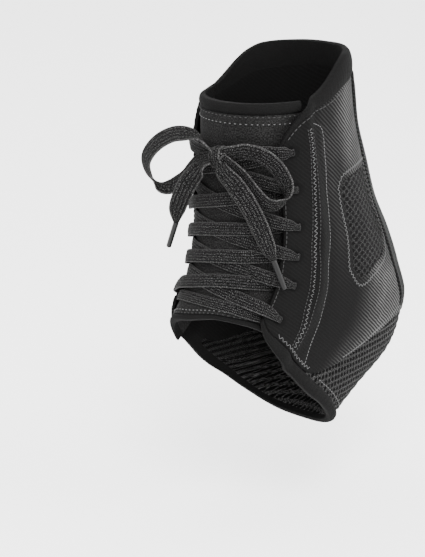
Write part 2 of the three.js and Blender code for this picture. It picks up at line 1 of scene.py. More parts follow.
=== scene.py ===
"""A black lace-up ankle brace in its worn shape, with its cloth, mesh, seams, lace and bow.

Lengths inside the object are millimetres and are turned into metres where a mesh is made. A place on
the brace has two numbers: share, how far down the form it is, 0 at the leg opening and 1 at the
forefoot opening, and deg, how far round, 0 on the instep, 90 on the left side and 180 on the heel.
"""

import json
import logging
from collections.abc import Callable, Sequence
from dataclasses import dataclass, field
from enum import Enum

import bpy
import numpy as np
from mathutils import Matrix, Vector

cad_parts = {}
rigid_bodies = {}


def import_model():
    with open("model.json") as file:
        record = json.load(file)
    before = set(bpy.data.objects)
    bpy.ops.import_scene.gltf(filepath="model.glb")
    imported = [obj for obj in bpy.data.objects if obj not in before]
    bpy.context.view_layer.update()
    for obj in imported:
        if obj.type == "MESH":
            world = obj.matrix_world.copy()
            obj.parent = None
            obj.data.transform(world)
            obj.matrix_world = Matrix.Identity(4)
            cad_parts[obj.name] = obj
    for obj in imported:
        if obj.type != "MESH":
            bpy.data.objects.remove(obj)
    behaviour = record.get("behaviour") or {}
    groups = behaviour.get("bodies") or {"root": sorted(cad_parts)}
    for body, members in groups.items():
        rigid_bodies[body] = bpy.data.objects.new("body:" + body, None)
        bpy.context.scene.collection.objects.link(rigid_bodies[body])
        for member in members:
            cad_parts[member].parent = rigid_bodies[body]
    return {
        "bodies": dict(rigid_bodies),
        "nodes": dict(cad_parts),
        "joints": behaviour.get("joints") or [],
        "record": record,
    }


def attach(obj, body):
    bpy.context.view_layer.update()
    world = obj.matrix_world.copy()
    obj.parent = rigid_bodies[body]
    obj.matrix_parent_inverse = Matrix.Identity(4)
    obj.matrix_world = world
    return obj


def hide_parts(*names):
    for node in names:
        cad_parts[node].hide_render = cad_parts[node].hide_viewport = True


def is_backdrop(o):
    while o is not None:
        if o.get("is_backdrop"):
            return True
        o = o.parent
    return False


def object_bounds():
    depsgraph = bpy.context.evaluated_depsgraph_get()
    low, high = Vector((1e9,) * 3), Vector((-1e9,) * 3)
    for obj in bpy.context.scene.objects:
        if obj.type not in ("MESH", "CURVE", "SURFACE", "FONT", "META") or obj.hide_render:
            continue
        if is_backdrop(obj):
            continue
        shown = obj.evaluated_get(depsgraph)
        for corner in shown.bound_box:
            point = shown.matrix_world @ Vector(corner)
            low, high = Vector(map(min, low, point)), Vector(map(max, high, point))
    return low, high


LOG = logging.getLogger("ankle_brace")
MM = 0.001

Array = np.ndarray
Where = Callable[[Array, Array], tuple[Array, Array]]
Lift = Callable[[Array, Array, Array], Array]


class Table:
    """Rows with named columns, read smoothly between rows along a key column."""

    def __init__(self, columns: str, rows: Sequence[Sequence[float]]) -> None:
        """Keep the rows by column name.

        Args:
            columns: The column names, parted by spaces; the first is the key.
            rows: One tuple of numbers a row, with rising keys.
        """
        self.names = columns.split()
        self.key = self.names[0]
        self.data = dict(zip(self.names, np.array(rows, float).T))

    def read(self, at: Array, column: str) -> Array:
        """The column's value at each key, by a cubic whose slope at a row is that of its neighbours.

        Args:
            at: Key values; outside the table they are held at its ends.
            column: The column to read.

        Returns:
            The values, in the shape of at.
        """
        x, y = self.data[self.key], self.data[column]
        last = len(x) - 1
        place = np.clip(at, x[0], x[-1])
        i = np.clip(np.searchsorted(x, place, side="right") - 1, 0, last - 1)
        before, after = np.maximum(i - 1, 0), np.minimum(i + 2, last)
        width = x[i + 1] - x[i]
        t = (place - x[i]) / width
        slope_in = (y[i + 1] - y[before]) / (x[i + 1] - x[before]) * width
        slope_out = (y[after] - y[i]) / (x[after] - x[i]) * width
        return (
            y[i] * (2 * t**3 - 3 * t**2 + 1)
            + slope_in * (t**3 - 2 * t**2 + t)
            + y[i + 1] * (3 * t**2 - 2 * t**3)
            + slope_out * (t**3 - t**2)
        )


RISE, REACH, HALF_WIDTH = 100.0, 84.0, 31.0
FORM = Table(
    "share front_out front_up back_out back_up wide front_full back_full pinch",
    [
        (0.0, -0.44, 0.95, 0.42, 0.98, 0.98, 2.1, 2.1, 0.10),
        (0.1, -0.43, 0.77, 0.48, 0.79, 0.98, 2.15, 2.0, 0.16),
        (0.2, -0.43, 0.60, 0.55, 0.59, 0.98, 2.2, 1.95, 0.24),
        (0.3, -0.43, 0.45, 0.655, 0.39, 1.02, 2.25, 1.9, 0.31),
        (0.4, -0.44, 0.31, 0.76, 0.18, 1.05, 2.35, 1.9, 0.36),
        (0.5, -0.45, 0.19, 0.905, -0.02, 1.05, 2.45, 1.9, 0.37),
        (0.6, -0.475, 0.08, 1.00, -0.21, 1.02, 2.6, 2.1, 0.33),
        (0.7, -0.50, -0.01, 1.05, -0.42, 1.00, 2.7, 2.4, 0.22),
        (0.8, -0.535, -0.09, 0.89, -0.62, 1.00, 2.8, 2.8, 0.10),
        (0.9, -0.57, -0.17, 0.535, -0.77, 1.02, 2.9, 3.1, 0.04),
        (1.0, -0.605, -0.24, 0.20, -0.92, 1.05, 2.9, 3.3, 0.0),
        (1.1, -0.655, -0.33, -0.12, -1.10, 1.10, 2.9, 3.3, 0.0),
    ],
)
COLLAR = Table(
    "deg edge low",
    [
        (46.5, 0.206, 0.218),
        (52, 0.168, 0.182),
        (58, 0.138, 0.153),
        (66, 0.110, 0.129),
        (74, 0.090, 0.118),
        (82, 0.075, 0.111),
        (90, 0.057, 0.103),
        (98, 0.038, 0.092),
        (108, 0.018, 0.081),
        (121, 0.004, 0.075),
        (150, 0.002, 0.068),
        (180, 0.004, 0.066),
    ],
)
FOREFOOT = Table(
    "deg cloth inner edge",
    [
        (46.5, 0.881, 0.885, 0.908),
        (52, 0.924, 0.928, 0.962),
        (60, 0.940, 0.944, 0.990),
        (70, 0.955, 0.959, 1.003),
        (82, 0.965, 0.969, 1.003),
        (91, 0.950, 0.970, 1.003),
        (100, 0.889, 0.969, 0.999),
        (105, 0.846, 0.968, 0.995),
        (110, 0.804, 0.968, 0.992),
        (119, 0.762, 0.969, 0.990),
        (134, 0.727, 0.970, 0.988),
        (180, 0.710, 0.970, 0.988),
    ],
)
WINDOW = Table(
    "deg top foot",
    [
        (89, 0.350, 0.600),
        (93, 0.326, 0.644),
        (97, 0.319, 0.646),
        (104, 0.312, 0.622),
        (112, 0.308, 0.596),
        (122, 0.305, 0.566),
        (132, 0.304, 0.510),
    ],
)
CHANNEL = Table(
    "share front back",
    [
        (0.15, 69, 77),
        (0.19, 69, 81),
        (0.25, 68, 80),
        (0.40, 66, 77),
        (0.60, 65, 74),
        (0.73, 65, 74),
        (0.82, 67, 76),
        (0.90, 69, 79),
        (0.96, 70, 82),
    ],
)
TONGUE_FOOT = Table(
    "deg share",
    [
        (-66, 1.030),
        (-30, 1.030),
        (-13, 1.026),
        (0, 1.008),
        (16, 0.982),
        (30, 0.964),
        (46, 0.938),
        (66, 0.925),
    ],
)
FACING_EDGE, HOLE_LINE, TONGUE_EDGE, PANEL_DOWN, STRIP_EDGE, BACK = 46.5, 55.0, 66.0, 76.0, 134.0, 180.0
MESH_START, SEAM = 91.0, 0.004
PANEL_THICK, FACING_THICK, TONGUE_THICK, MESH_THICK, STRIP_THICK = 3.0, 2.0, 3.4, 2.2, 1.3
CHANNEL_RAISE, BAND_ROLL, BINDING, TONGUE_TOP = 1.0, 1.0, 0.030, 0.093
LACE_WIDTH, LACE_THICK, CROSSED_WIDTH, LACE_CLEAR, TURN_WIDE = 9.0, 1.2, 6.4, 0.6, 3.2
AGLET_RADIUS, AGLET_LENGTH = 1.3, 14.5
KNOT_AT, KNOT_HALF = np.array([8.0, -47.0, 54.5]), np.array([6.25, 4.25, 5.25])
LACE_ROWS = (0.222, 0.335, 0.455, 0.570, 0.700, 0.865)

CROSSING = Table(
    "turn reach perch over wide",
    [
        (0, 0.90, 1, 0, 0.80),
        (1, 0.80, 1, 0, 0.95),
        (2, 0.68, 0.5, 0.3, 1),
        (3, 0.55, 0.1, 0.9, 1),
        (4, 0.40, 0, 1.1, 1),
        (5, 0.20, 0, 1.15, 1),
        (6, 0, 0, 1.15, 1),
        (7, -0.20, 0, 1.15, 1),
        (8, -0.40, 0, 1.1, 1),
        (9, -0.52, 0, 0.9, 1),
        (10, -0.66, 0, 0.2, 1),
        (11, -0.80, 0, 0, 0.95),
        (12, -0.90, 0, 0, 0.75),
    ],
)
TURN = Table(
    "step away rise",
    [(0, -1.7, 0), (1, -0.1, 0.06), (2, 0.35, 0.28), (3, 0.35, 0.72), (4, -0.1, 0.94), (5, -1.7, 1)],
)
TO_KNOT = {
    1: Table(
        "step deg share lift",
        [(0, 40, 0.220, 7.4), (1, 32, 0.219, 7.8), (2, 23, 0.224, 8.0), (3, 14, 0.238, 8.7)],
    ),
    -1: Table(
        "step deg share lift",
        [(0, -38, 0.226, 7.4), (1, -24, 0.228, 7.9), (2, -10, 0.232, 8.2), (3, 6, 0.238, 9.0)],
    ),
}


def section(share: Array) -> dict[str, Array]:
    """The form's cross-section columns, each a Catmull-Rom curve through evenly spaced rows."""
    place = np.clip(np.asarray(share, float) * 10, 0, 11)
    i = np.minimum(place.astype(int), 10)
    t = place - i
    out = {}
    for name in FORM.names[1:]:
        y = FORM.data[name]
        y = np.concatenate([[2 * y[0] - y[1]], y, [2 * y[-1] - y[-2]]])
        a, b, c, d = y[i], y[i + 1], y[i + 2], y[i + 3]
        square = (2 * a - 5 * b + 4 * c - d) * t**2
        out[name] = 0.5 * (2 * b + (c - a) * t + square + (3 * b - a - 3 * c + d) * t**3)
    return out


def on_form(share: Array, deg: Array) -> Array:
    """Points on the form, the inside of the brace.

    Across, a section is width x sin(deg), narrowed at the back; front to back it runs with
    sign(cos) x sqrt(1 - |sin|^full), so full sets how square the section is.

    Args:
        share: How far down, any shape.
        deg: How far round, the same shape.

    Returns:
        Points in millimetres with one more axis of three.
    """
    share, deg = np.broadcast_arrays(np.asarray(share, float), np.asarray(deg, float))
    cut = section(share)
    cos, sin = np.cos(np.radians(deg)), np.sin(np.radians(deg))
    full = np.where(cos > 0, cut["front_full"], cut["back_full"])
    forth = np.sign(cos) * np.sqrt(np.clip(1 - np.abs(sin) ** full, 0, 1))
    narrow = 1 - cut["pinch"] * ((1 - cos) / 2) ** 2
    x = HALF_WIDTH * cut["wide"] * sin * narrow
    y = REACH * ((cut["front_out"] + cut["back_out"]) / 2 - forth * (cut["back_out"] - cut["front_out"]) / 2)
    z = RISE * ((cut["front_up"] + cut["back_up"]) / 2 - forth * (cut["back_up"] - cut["front_up"]) / 2)
    return np.stack([x, y, z], -1)


def unit(v: Array) -> Array:
    """Vectors scaled to length one."""
    return v / np.maximum(np.linalg.norm(v, axis=-1, keepdims=True), 1e-12)


def directions(share: Array, deg: Array) -> tuple[Array, Array, Array]:
    """Unit directions down the form, round it and out of it, by central differences."""
    at = np.clip(share, 0.002, 1.098)
    down = unit(on_form(at + 0.001, deg) - on_form(at - 0.001, deg))
    round_ = unit(on_form(at, deg + 0.2) - on_form(at, deg - 0.2))
    return down, round_, unit(np.cross(down, round_))


def lifted(share: Array, deg: Array, lift: Array) -> Array:
    """Points a lift out from the form."""
    return on_form(share, deg) + directions(share, deg)[2] * np.asarray(lift, float)[..., None]


def smooth(start: float, end: float, at: Array) -> Array:
    """A smooth step from 0 at start to 1 at end."""
    t = np.clip((at - start) / (end - start), 0, 1)
    return t * t * (3 - 2 * t)


def near(deg: Array) -> Array:
    """The angle from the instep, the same on both sides, from 0 to 180."""
    return BACK - np.abs(BACK - np.abs(deg))


def tongue_top(deg: Array) -> Array:
    """Lift of the tongue's outside, thinner toward its side edges."""
    return TONGUE_THICK * (1 - 0.45 * np.minimum(1, np.abs(deg) / TONGUE_EDGE) ** 2)


def panel_under(deg: Array) -> Array:
    """Lift of a side panel's underside: over tongue and lace in front, on the form behind."""
    at = near(deg)
    riding = tongue_top(np.minimum(at, TONGUE_EDGE)) + LACE_THICK + 2 * LACE_CLEAR
    return riding * (1 - smooth(TONGUE_EDGE, PANEL_DOWN, at))


def panel_top(deg: Array) -> Array:
    """Lift of a side panel's plain outside."""
    press = smooth(TONGUE_EDGE - 6, PANEL_DOWN, near(deg))
    return panel_under(deg) + FACING_THICK + (PANEL_THICK - FACING_THICK) * press


def panel_raised(share: Array, deg: Array) -> Array:
    """Lift of a side panel's outside with the stay channel and the soft creases by the heel."""
    front, back = CHANNEL.read(share, "front"), CHANNEL.read(share, "back")
    across = np.clip((near(deg) - front) / (back - front), 0, 1)
    raised = np.sin(np.pi * across) ** 0.6 * smooth(0.14, 0.18, share)
    nearby = np.exp(-(((near(deg) - 124) / 9) ** 2) - ((share - 0.62) / 0.09) ** 2)
    crease = np.sin(share * 95 + near(deg) * 0.09) * nearby
    ease = np.sin(share * 31 + 1.3) * np.sin(near(deg) * 0.11) * smooth(84, 96, near(deg))
    return panel_top(deg) + CHANNEL_RAISE * raised + 0.35 * crease + 0.18 * ease


def make_object(
    name: str, points: Array, faces: Array, uv: Array, material: bpy.types.Material
) -> bpy.types.Object:
    """A smooth mesh object with one UV map in millimetres.

    Args:
        name: The object's name.
        points: Vertices in millimetres.
        faces: Corner numbers, four a row.
        uv: Two lengths a vertex, in millimetres.
        material: Its finish.

    Returns:
        The linked object.
    """
    mesh = bpy.data.meshes.new(name)
    mesh.vertices.add(len(points))
    mesh.vertices.foreach_set("co", (points * MM).astype(np.float32).ravel())
    count = len(faces)
    mesh.loops.add(count * 4)
    mesh.loops.foreach_set("vertex_index", faces.astype(np.int32).ravel())
    mesh.polygons.add(count)
    mesh.polygons.foreach_set("loop_start", np.arange(0, count * 4, 4, dtype=np.int32))
    mesh.polygons.foreach_set("use_smooth", np.ones(count, bool))
    layer = mesh.uv_layers.new(name="cloth")
    layer.data.foreach_set("uv", uv[faces.ravel()].astype(np.float32).ravel())
    mesh.update(calc_edges=True)
    mesh.materials.append(material)
    obj = bpy.data.objects.new(name, mesh)
    bpy.context.scene.collection.objects.link(obj)
    return obj


def quads(rows: int, columns: int) -> Array:
    """Corner numbers of a grid's quads, for points laid out row by row."""
    start = (np.arange(rows)[:, None] * (columns + 1) + np.arange(columns)[None, :]).ravel()
    return np.stack([start, start + columns + 1, start + columns + 2, start + 1], -1)


def add_point_value(obj: bpy.types.Object, name: str, values: Array) -> None:
    """Store one number a vertex for the finish to read."""
    attribute = obj.data.attributes.new(name, "FLOAT", "POINT")
    attribute.data.foreach_set("value", values.astype(np.float32).ravel())


def spaced(count: int, tight: float = 0.0) -> Array:
    """Rising numbers from 0 to 1, drawn toward both ends by tight."""
    t = np.linspace(0, 1, count + 1)
    return t - tight * np.sin(2 * np.pi * t) / (2 * np.pi)


@dataclass
class Layer:
    """A layer of cloth laid on the form between an underside and an outside, its rim rounded over."""

    name: str
    slot: str
    columns: int
    rows: int
    where: Where
    under: Lift
    over: Lift
    keep: Callable[[Array], Array] | None = None
    rim: float = 0.7
    sheet: bool = False
    flat: tuple[float, float] = (0.0, 0.0)
    area: float = 0.0
    values: dict[str, Callable[[Array, Array], Array]] = field(default_factory=dict)

    def grid(self) -> tuple[Array, Array, Array, Array]:
        """The grid's places and its two parameters, each (rows + 1, columns + 1)."""
        u, v = np.meshgrid(spaced(self.columns, 0.7), spaced(self.rows, 0.7))
        share, deg = self.where(u, v)
        return u, v, share, deg

    def build(self, material: bpy.types.Material) -> bpy.types.Object:
        """Make the closed layer.

        The outside sinks toward the rim by rim x (1 - sqrt(1 - t^2)) over the last millimetre and
        a half, t rising to one at the rim, as a folded edge does.

        Args:
            material: The cloth's finish.

        Returns:
            The mesh object.
        """
        u, v, share, deg = self.grid()
        base = on_form(share, deg)
        steps_across = np.linalg.norm(np.diff(base, axis=1), axis=2)
        steps_down = np.linalg.norm(np.diff(base, axis=0), axis=2)
        across = np.concatenate([np.zeros((len(base), 1)), np.cumsum(steps_across, 1)], 1)
        down = np.concatenate([np.zeros((1, base.shape[1])), np.cumsum(steps_down, 0)], 0)
        edge = np.minimum(np.minimum(across, across[:, -1:] - across), np.minimum(down, down[-1:] - down))
        t = np.clip(1 - edge / 1.5, 0, 1)
        sink = self.rim * (1 - np.sqrt(np.clip(1 - t * t, 0, 1)))
        outside = lifted(share, deg, self.over(share, deg, v) - sink).reshape(-1, 3)
        inside = lifted(share, deg, self.under(share, deg, v)).reshape(-1, 3)
        count = len(outside)
        top = quads(self.rows, self.columns)
        kept = np.ones(len(top), bool) if self.keep is None else self.keep(top)
        top = top[kept]
        cell = np.cross(base[:-1, 1:] - base[:-1, :-1], base[1:, :-1] - base[:-1, :-1])
        self.area = float(np.linalg.norm(cell, axis=2).ravel()[kept].sum()) * MM * MM
        self.flat = (float(across.max()) * MM, float(down.max()) * MM)
        edges = np.concatenate([top[:, [k, (k + 1) % 4]] for k in range(4)])
        code, back_code = edges[:, 0] * count + edges[:, 1], edges[:, 1] * count + edges[:, 0]
        rim = edges[~np.isin(code, back_code)]
        wall = np.stack([rim[:, 1], rim[:, 0], rim[:, 0] + count, rim[:, 1] + count], -1)
        faces = np.concatenate([top, top[:, ::-1] + count, wall])
        if deg.mean() < -1:
            faces = faces[:, ::-1]
        uv = np.tile(np.stack([across, down], -1).reshape(-1, 2), (2, 1))
        obj = make_object(self.name, np.concatenate([outside, inside]), faces, uv, material)
        add_point_value(obj, "outer", np.repeat([1.0, 0.0], count))
        for name, value in self.values.items():
            add_point_value(obj, name, np.tile(value(share, deg).ravel(), 2))
        return obj


def lerp(a: Array | float, b: Array | float, t: Array | float) -> Array:
    """The mix of a and b, a at t = 0."""
    return a + (b - a) * t


def window_outline(count: int = 40) -> Array:
    """Places (share, deg) round the left window, a closed path.

    Returns:
        An array of (points, 2).
    """
    deg = np.linspace(89, 132, count)
    top, foot = WINDOW.read(deg, "top"), WINDOW.read(deg, "foot")
    sides = np.linspace(0, 1, 14)[1:-1]
    right = np.stack([lerp(top[-1], foot[-1], sides), np.full(12, 132.0)], -1)
    left = np.stack([lerp(foot[0], top[0], sides), np.full(12, 89.0)], -1)
    return np.concatenate([np.stack([top, deg], -1), right, np.stack([foot, deg], -1)[::-1], left])


def window_distance(share: Array, deg: Array) -> Array:
    """Millimetres from the window's outline, negative inside it."""
    at = near(deg)
    outline = window_outline(90)
    marks = on_form(outline[:, 0], outline[:, 1])
    points = on_form(share, at).reshape(-1, 1, 3)
    far = np.linalg.norm(points - marks[None], axis=2).min(1).reshape(share.shape)
    inside = (at > 89) & (at < 132) & (share > WINDOW.read(at, "top")) & (share < WINDOW.read(at, "foot"))
    return np.where(inside, -far, far)


def hole_distance(share: Array, deg: Array) -> Array:
    """Millimetres from the nearest lace hole's centre."""
    centres = on_form(np.array(LACE_ROWS), np.full(len(LACE_ROWS), HOLE_LINE))
    points = on_form(share, near(deg)).reshape(-1, 1, 3)
    return np.linalg.norm(points - centres[None], axis=2).min(1).reshape(share.shape)


def panel_painted_sheen(share: Array, deg: Array) -> Array:
    """Painted sheen: how much paler the twill's raised threads are painted, by place, from 0 to 1, standing in for
    light from the right and behind catching them.

    Soft spots are set at the upper back, under the window and behind the stay.
    """
    at = near(deg)
    upper = smooth(84, 112, at) * (1 - smooth(0.24, 0.42, share))
    lower = smooth(90, 116, at) * smooth(0.50, 0.64, share)
    behind = 0.45 * smooth(122, 132, at)
    front = 0.35 * np.exp(-(((at - 84) / 7) ** 2) - ((share - 0.3) / 0.25) ** 2)
    return np.clip(np.maximum(0.9 * upper, lower) + behind * (1 - upper) * (1 - lower) + 0.6 * front, 0, 1)


def panel(side: int) -> Layer:
    """A side panel of twill with its stay channel and window opening.

    Args:
        side: 1 for the left side, -1 for the right.

    Returns:
        The layer.
    """
    columns, rows = 190, 210

    def where(u: Array, v: Array) -> tuple[Array, Array]:
        deg = lerp(FACING_EDGE, BACK, u)
        return lerp(COLLAR.read(deg, "low") - SEAM, FOREFOOT.read(deg, "cloth") + SEAM, v), side * deg

    def over(share: Array, deg: Array, v: Array) -> Array:
        press = 0.5 * np.exp(-((window_distance(share, deg) / 1.6) ** 2))
        pucker = 0.7 * np.exp(-((hole_distance(share, deg) / 3.2) ** 2))
        return panel_raised(share, deg) - press - pucker

    piece = Layer(
        "panel_left" if side > 0 else "panel_right", "twill", columns, rows, where,
        under=lambda share, deg, v: panel_under(deg), over=over, sheet=True,
        # The first value is the painted sheen mask for the twill's raised threads.
        values={"painted_sheen": panel_painted_sheen, "hole": hole_distance, "round": lambda share, deg: near(deg)},
    )
    gap = window_distance(*piece.grid()[2:]).ravel()
    piece.keep = lambda top: gap[top].mean(1) > -0.8
    return piece


def window_mesh(side: int) -> Layer:
    """The spacer mesh set into a side panel's window."""

    def where(u: Array, v: Array) -> tuple[Array, Array]:
        deg = lerp(88.3, 132.7, u)
        return lerp(WINDOW.read(deg, "top") - 0.006, WINDOW.read(deg, "foot") + 0.006, v), side * deg

    def over(share: Array, deg: Array, v: Array) -> Array:
        puff = 0.5 * (1 - np.exp(window_distance(share, deg) / 5.0 * (window_distance(share, deg) < 0)))
        return MESH_THICK + 0.05 + puff

    return Layer(
        "window_left" if side > 0 else "window_right", "spacer_mesh", 90, 90, where,
        under=lambda share, deg, v: np.full(share.shape, -0.12), over=over, sheet=True,
    )


def heel_mesh() -> Layer:
    """The ribbed mesh under the heel and sole, its ribs nearly level."""

    def where(u: Array, v: Array) -> tuple[Array, Array]:
        deg = lerp(MESH_START - 8, 2 * BACK - MESH_START + 8, u)
        top, foot = FOREFOOT.read(near(deg), "cloth") - 2 * SEAM, FOREFOOT.read(near(deg), "inner") + 2 * SEAM
        return lerp(top, foot, v), deg

    def over(share: Array, deg: Array, v: Array) -> Array:
        height = lifted(share, deg, np.zeros(share.shape))[..., 2]
        return MESH_THICK + 0.22 * np.sin(2 * np.pi * height / 3.1)

    return Layer(
        "heel_mesh", "ribbed_mesh", 300, 80, where,
        under=lambda share, deg, v: np.full(share.shape, -0.06), over=over, sheet=True,
        values={"height": lambda share, deg: on_form(share, deg)[..., 2]},
    )


def back_strip() -> Layer:
    """The strip over the back seam, from the collar round the heel."""
    foot = float(FOREFOOT.read(np.array(BACK), "cloth")) + SEAM
    head = float(COLLAR.read(np.array(BACK), "low")) - SEAM

    def where(u: Array, v: Array) -> tuple[Array, Array]:
        return lerp(head, foot, v), BACK + (2 * u - 1) * (BACK - STRIP_EDGE)

    def rise(share: Array) -> Array:
        return STRIP_THICK * (1 - 0.75 * smooth(foot - 0.05, foot, share))

    return Layer(
        "back_strip", "twill", 90, 170, where,
        under=lambda share, deg, v: panel_top(deg) - 0.3,
        over=lambda share, deg, v: panel_top(deg) + rise(share),
        sheet=True,
        values={
            # Painted sheen: the strip's raised lines are painted paler along its upper part and a little everywhere.
            "painted_sheen": lambda share, deg: 0.3 * np.exp(-(((share - 0.3) / 0.2) ** 2)) + 0.12,
            "hole": lambda share, deg: np.full(share.shape, 9.0),
            "round": lambda share, deg: near(deg),
        },
    )


def band(name: str, table: Table, upper: str, lower: str) -> Layer:
    """A binding round an opening, swollen along its middle by the square root of a half sine."""

    def where(u: Array, v: Array) -> tuple[Array, Array]:
        deg = lerp(FACING_EDGE, 2 * BACK - FACING_EDGE, u)
        return lerp(table.read(near(deg), upper), table.read(near(deg), lower), v), deg

    def over(share: Array, deg: Array, v: Array) -> Array:
        roll = BAND_ROLL * smooth(52, 80, near(deg))
        wave = 0.10 * np.sin(deg * 1.9) * np.sin(deg * 0.37)
        return panel_top(deg) - 0.6 + (roll + 0.7 + wave) * np.sin(np.pi * np.clip(v, 0.02, 0.98)) ** 0.5

    return Layer(
        name, "binding", 400, 26, where, under=lambda share, deg, v: panel_under(deg), over=over, rim=0.3
    )


def tongue_piece(name: str, slot: str, rows: int, head: Callable, foot: Callable, swell: float) -> Layer:
    """A length of the tongue between two lines across it.

    Args:
        name: The piece's name.
        slot: Its material slot.
        rows: Rows of quads down it.
        head: Share of its upper line for each deg.
        foot: Share of its lower line for each deg.
        swell: Roundness across the piece in millimetres, 0 for flat cloth.

    Returns:
        The layer.
    """

    def where(u: Array, v: Array) -> tuple[Array, Array]:
        deg = lerp(-TONGUE_EDGE, TONGUE_EDGE, u)
        return lerp(head(deg), foot(deg), v), deg

    def over(share: Array, deg: Array, v: Array) -> Array:
        soft = 0.25 * np.sin(share * 41 + 0.05 * deg) * np.sin(deg * 0.13 + 1)
        if swell == 0:
            return tongue_top(deg) - 0.15 + 0.5 * soft
        return tongue_top(deg) - 0.5 + swell * np.sin(np.pi * np.clip(v, 0.03, 0.97)) ** 0.5

    return Layer(
        name, slot, 150, rows, where, under=lambda share, deg, v: np.zeros(share.shape), over=over, rim=0.5
    )


def tongue_foot(deg: Array) -> Array:
    """Share of the tongue's lower edge."""
    return TONGUE_FOOT.read(deg, "share")


def cloth_layers() -> list[Layer]:
    """Every layer of cloth, in the order of the list of parts."""
    level = np.ones_like
    return [
        panel(1),
        panel(-1),
        window_mesh(1),
        window_mesh(-1),
        heel_mesh(),
        back_strip(),
        band("collar_band", COLLAR, "edge", "low"),
        band("forefoot_band", FOREFOOT, "inner", "edge"),
        tongue_piece(
            "tongue", "tongue_cloth", 170,
            lambda deg: (TONGUE_TOP + BINDING) * level(deg), lambda deg: tongue_foot(deg) - BINDING, 0,
        ),
        tongue_piece(
            "tongue_binding_top", "binding", 16,
            lambda deg: TONGUE_TOP * level(deg), lambda deg: (TONGUE_TOP + BINDING - 0.001) * level(deg), 0.9,
        ),
        tongue_piece(
            "tongue_binding_bottom", "binding", 16,
            lambda deg: tongue_foot(deg) - BINDING + 0.001, tongue_foot, 0.9,
        ),
    ]


@dataclass
class Path:
    """Stops of a flat lace: where it is, which way its width lies, and its width, in millimetres."""

    points: Array
    across: Array
    width: Array

    def __add__(self, other: "Path") -> "Path":
        return Path(
            np.concatenate([self.points, other.points]),
            np.concatenate([self.across, other.across]),
            np.concatenate([self.width, other.width]),
        )

    def turned_round(self) -> "Path":
        """The same stops from the other end."""
        return Path(self.points[::-1], self.across[::-1], self.width[::-1])

    def fine(self, step: float) -> "Path":
        """The path by evenly spaced points, on a centripetal Catmull-Rom curve.

        Between two stops the curve is a cubic whose tangents come from the square roots of the
        distances to the stops beside them, so it doesn't overshoot where stops crowd.

        Args:
            step: Spacing of the new points.

        Returns:
            The finer path.
        """
        p = self.points
        p = np.concatenate([[2 * p[0] - p[1]], p, [2 * p[-1] - p[-2]]])
        gap = np.sqrt(np.maximum(np.linalg.norm(np.diff(p, axis=0), axis=1), 1e-6))[:, None]
        before, here, after = gap[:-2], gap[1:-1], gap[2:]
        start = (p[1:-2] - p[:-3]) / before - (p[2:-1] - p[:-3]) / (before + here)
        start = start + (p[2:-1] - p[1:-2]) / here
        end = (p[2:-1] - p[1:-2]) / here - (p[3:] - p[1:-2]) / (here + after) + (p[3:] - p[2:-1]) / after
        start, end = start * here, end * here
        t = np.linspace(0, 1, 12, endpoint=False)[None, :, None]
        a, b = p[1:-2, None], p[2:-1, None]
        curve = (
            a * (2 * t**3 - 3 * t**2 + 1) + start[:, None] * (t**3 - 2 * t**2 + t)
            + b * (3 * t**2 - 2 * t**3) + end[:, None] * (t**3 - t**2)
        ).reshape(-1, 3)
        curve = np.concatenate([curve, self.points[-1:]])
        stop = np.linspace(0, len(self.points) - 1, len(curve))
        run = np.concatenate([[0], np.cumsum(np.linalg.norm(np.diff(curve, axis=0), axis=1))])
        at = np.linspace(0, run[-1], max(int(run[-1] / step), 4) + 1)
        stop = np.interp(at, run, stop)

        def pick(values: Array) -> Array:
            return np.stack([np.interp(stop, np.arange(len(values)), column) for column in values.T], -1)

        points = np.stack([np.interp(at, run, column) for column in curve.T], -1)
        width = Table("stop width", list(enumerate(self.width))).read(stop, "width")
        return Path(points, pick(self.across), width)


def ribbon(path: Path, step: float = 0.9, sides: int = 28) -> tuple[Array, Array, Array]:
    """A closed flat lace along a path, with lengthwise ribs.

    A section is a superellipse: half width x sign(cos) |cos|^0.7 across and half thickness x
    sign(sin) |sin|^0.55 through, with five ribs of a twelfth of a millimetre.

    Args:
        path: The stops.
        step: Millimetres between sections.
        sides: Points round a section.

    Returns:
        Points, quads and UV (across, along) in millimetres.
    """
    fine = path.fine(step)
    along = unit(np.gradient(fine.points, axis=0))
    across = unit(fine.across - along * np.sum(fine.across * along, 1, keepdims=True))
    through = unit(np.cross(along, across))
    angle = np.linspace(0, 2 * np.pi, sides, endpoint=False)
    cos, sin = np.cos(angle), np.sin(angle)
    x, y = np.sign(cos) * np.abs(cos) ** 0.7, np.sign(sin) * np.abs(sin) ** 0.55
    thick = LACE_THICK / 2 * (1 + 0.14 * np.cos(5 * np.pi * x))
    points = (
        fine.points[:, None]
        + across[:, None] * (x[None, :, None] * fine.width[:, None, None] / 2)
        + through[:, None] * (y * thick)[None, :, None]
    )
    count = len(points)
    ring, side = np.meshgrid(np.arange(count - 1), np.arange(sides), indexing="ij")
    nxt = (side + 1) % sides
    near_ring, far_ring = ring * sides, (ring + 1) * sides
    walls = np.stack([near_ring + side, near_ring + nxt, far_ring + nxt, far_ring + side], -1)
    k = np.arange(sides // 2 - 1)
    cap = np.stack([k, k + 1, sides - k - 2, (sides - k - 1) % sides], -1)
    faces = np.concatenate([walls.reshape(-1, 4), cap[:, ::-1], cap + (count - 1) * sides])
    run = np.concatenate([[0], np.cumsum(np.linalg.norm(np.diff(fine.points, axis=0), axis=1))])
    uv = np.stack(np.broadcast_arrays(x[None, :], run[:, None] + 0 * x[None, :]), -1).reshape(-1, 2)
    return points.reshape(-1, 3), faces, uv


def resting(deg: Array) -> Array:
    """Lift of the lace's middle where it rests on the tongue."""
    return tongue_top(np.minimum(np.abs(deg), TONGUE_EDGE)) + LACE_CLEAR * 0.6 + LACE_THICK / 2


def perched(deg: Array) -> Array:
    """Lift of the lace's middle where it lies on a facing."""
    return panel_top(deg) + LACE_CLEAR * 0.6 + LACE_THICK / 2


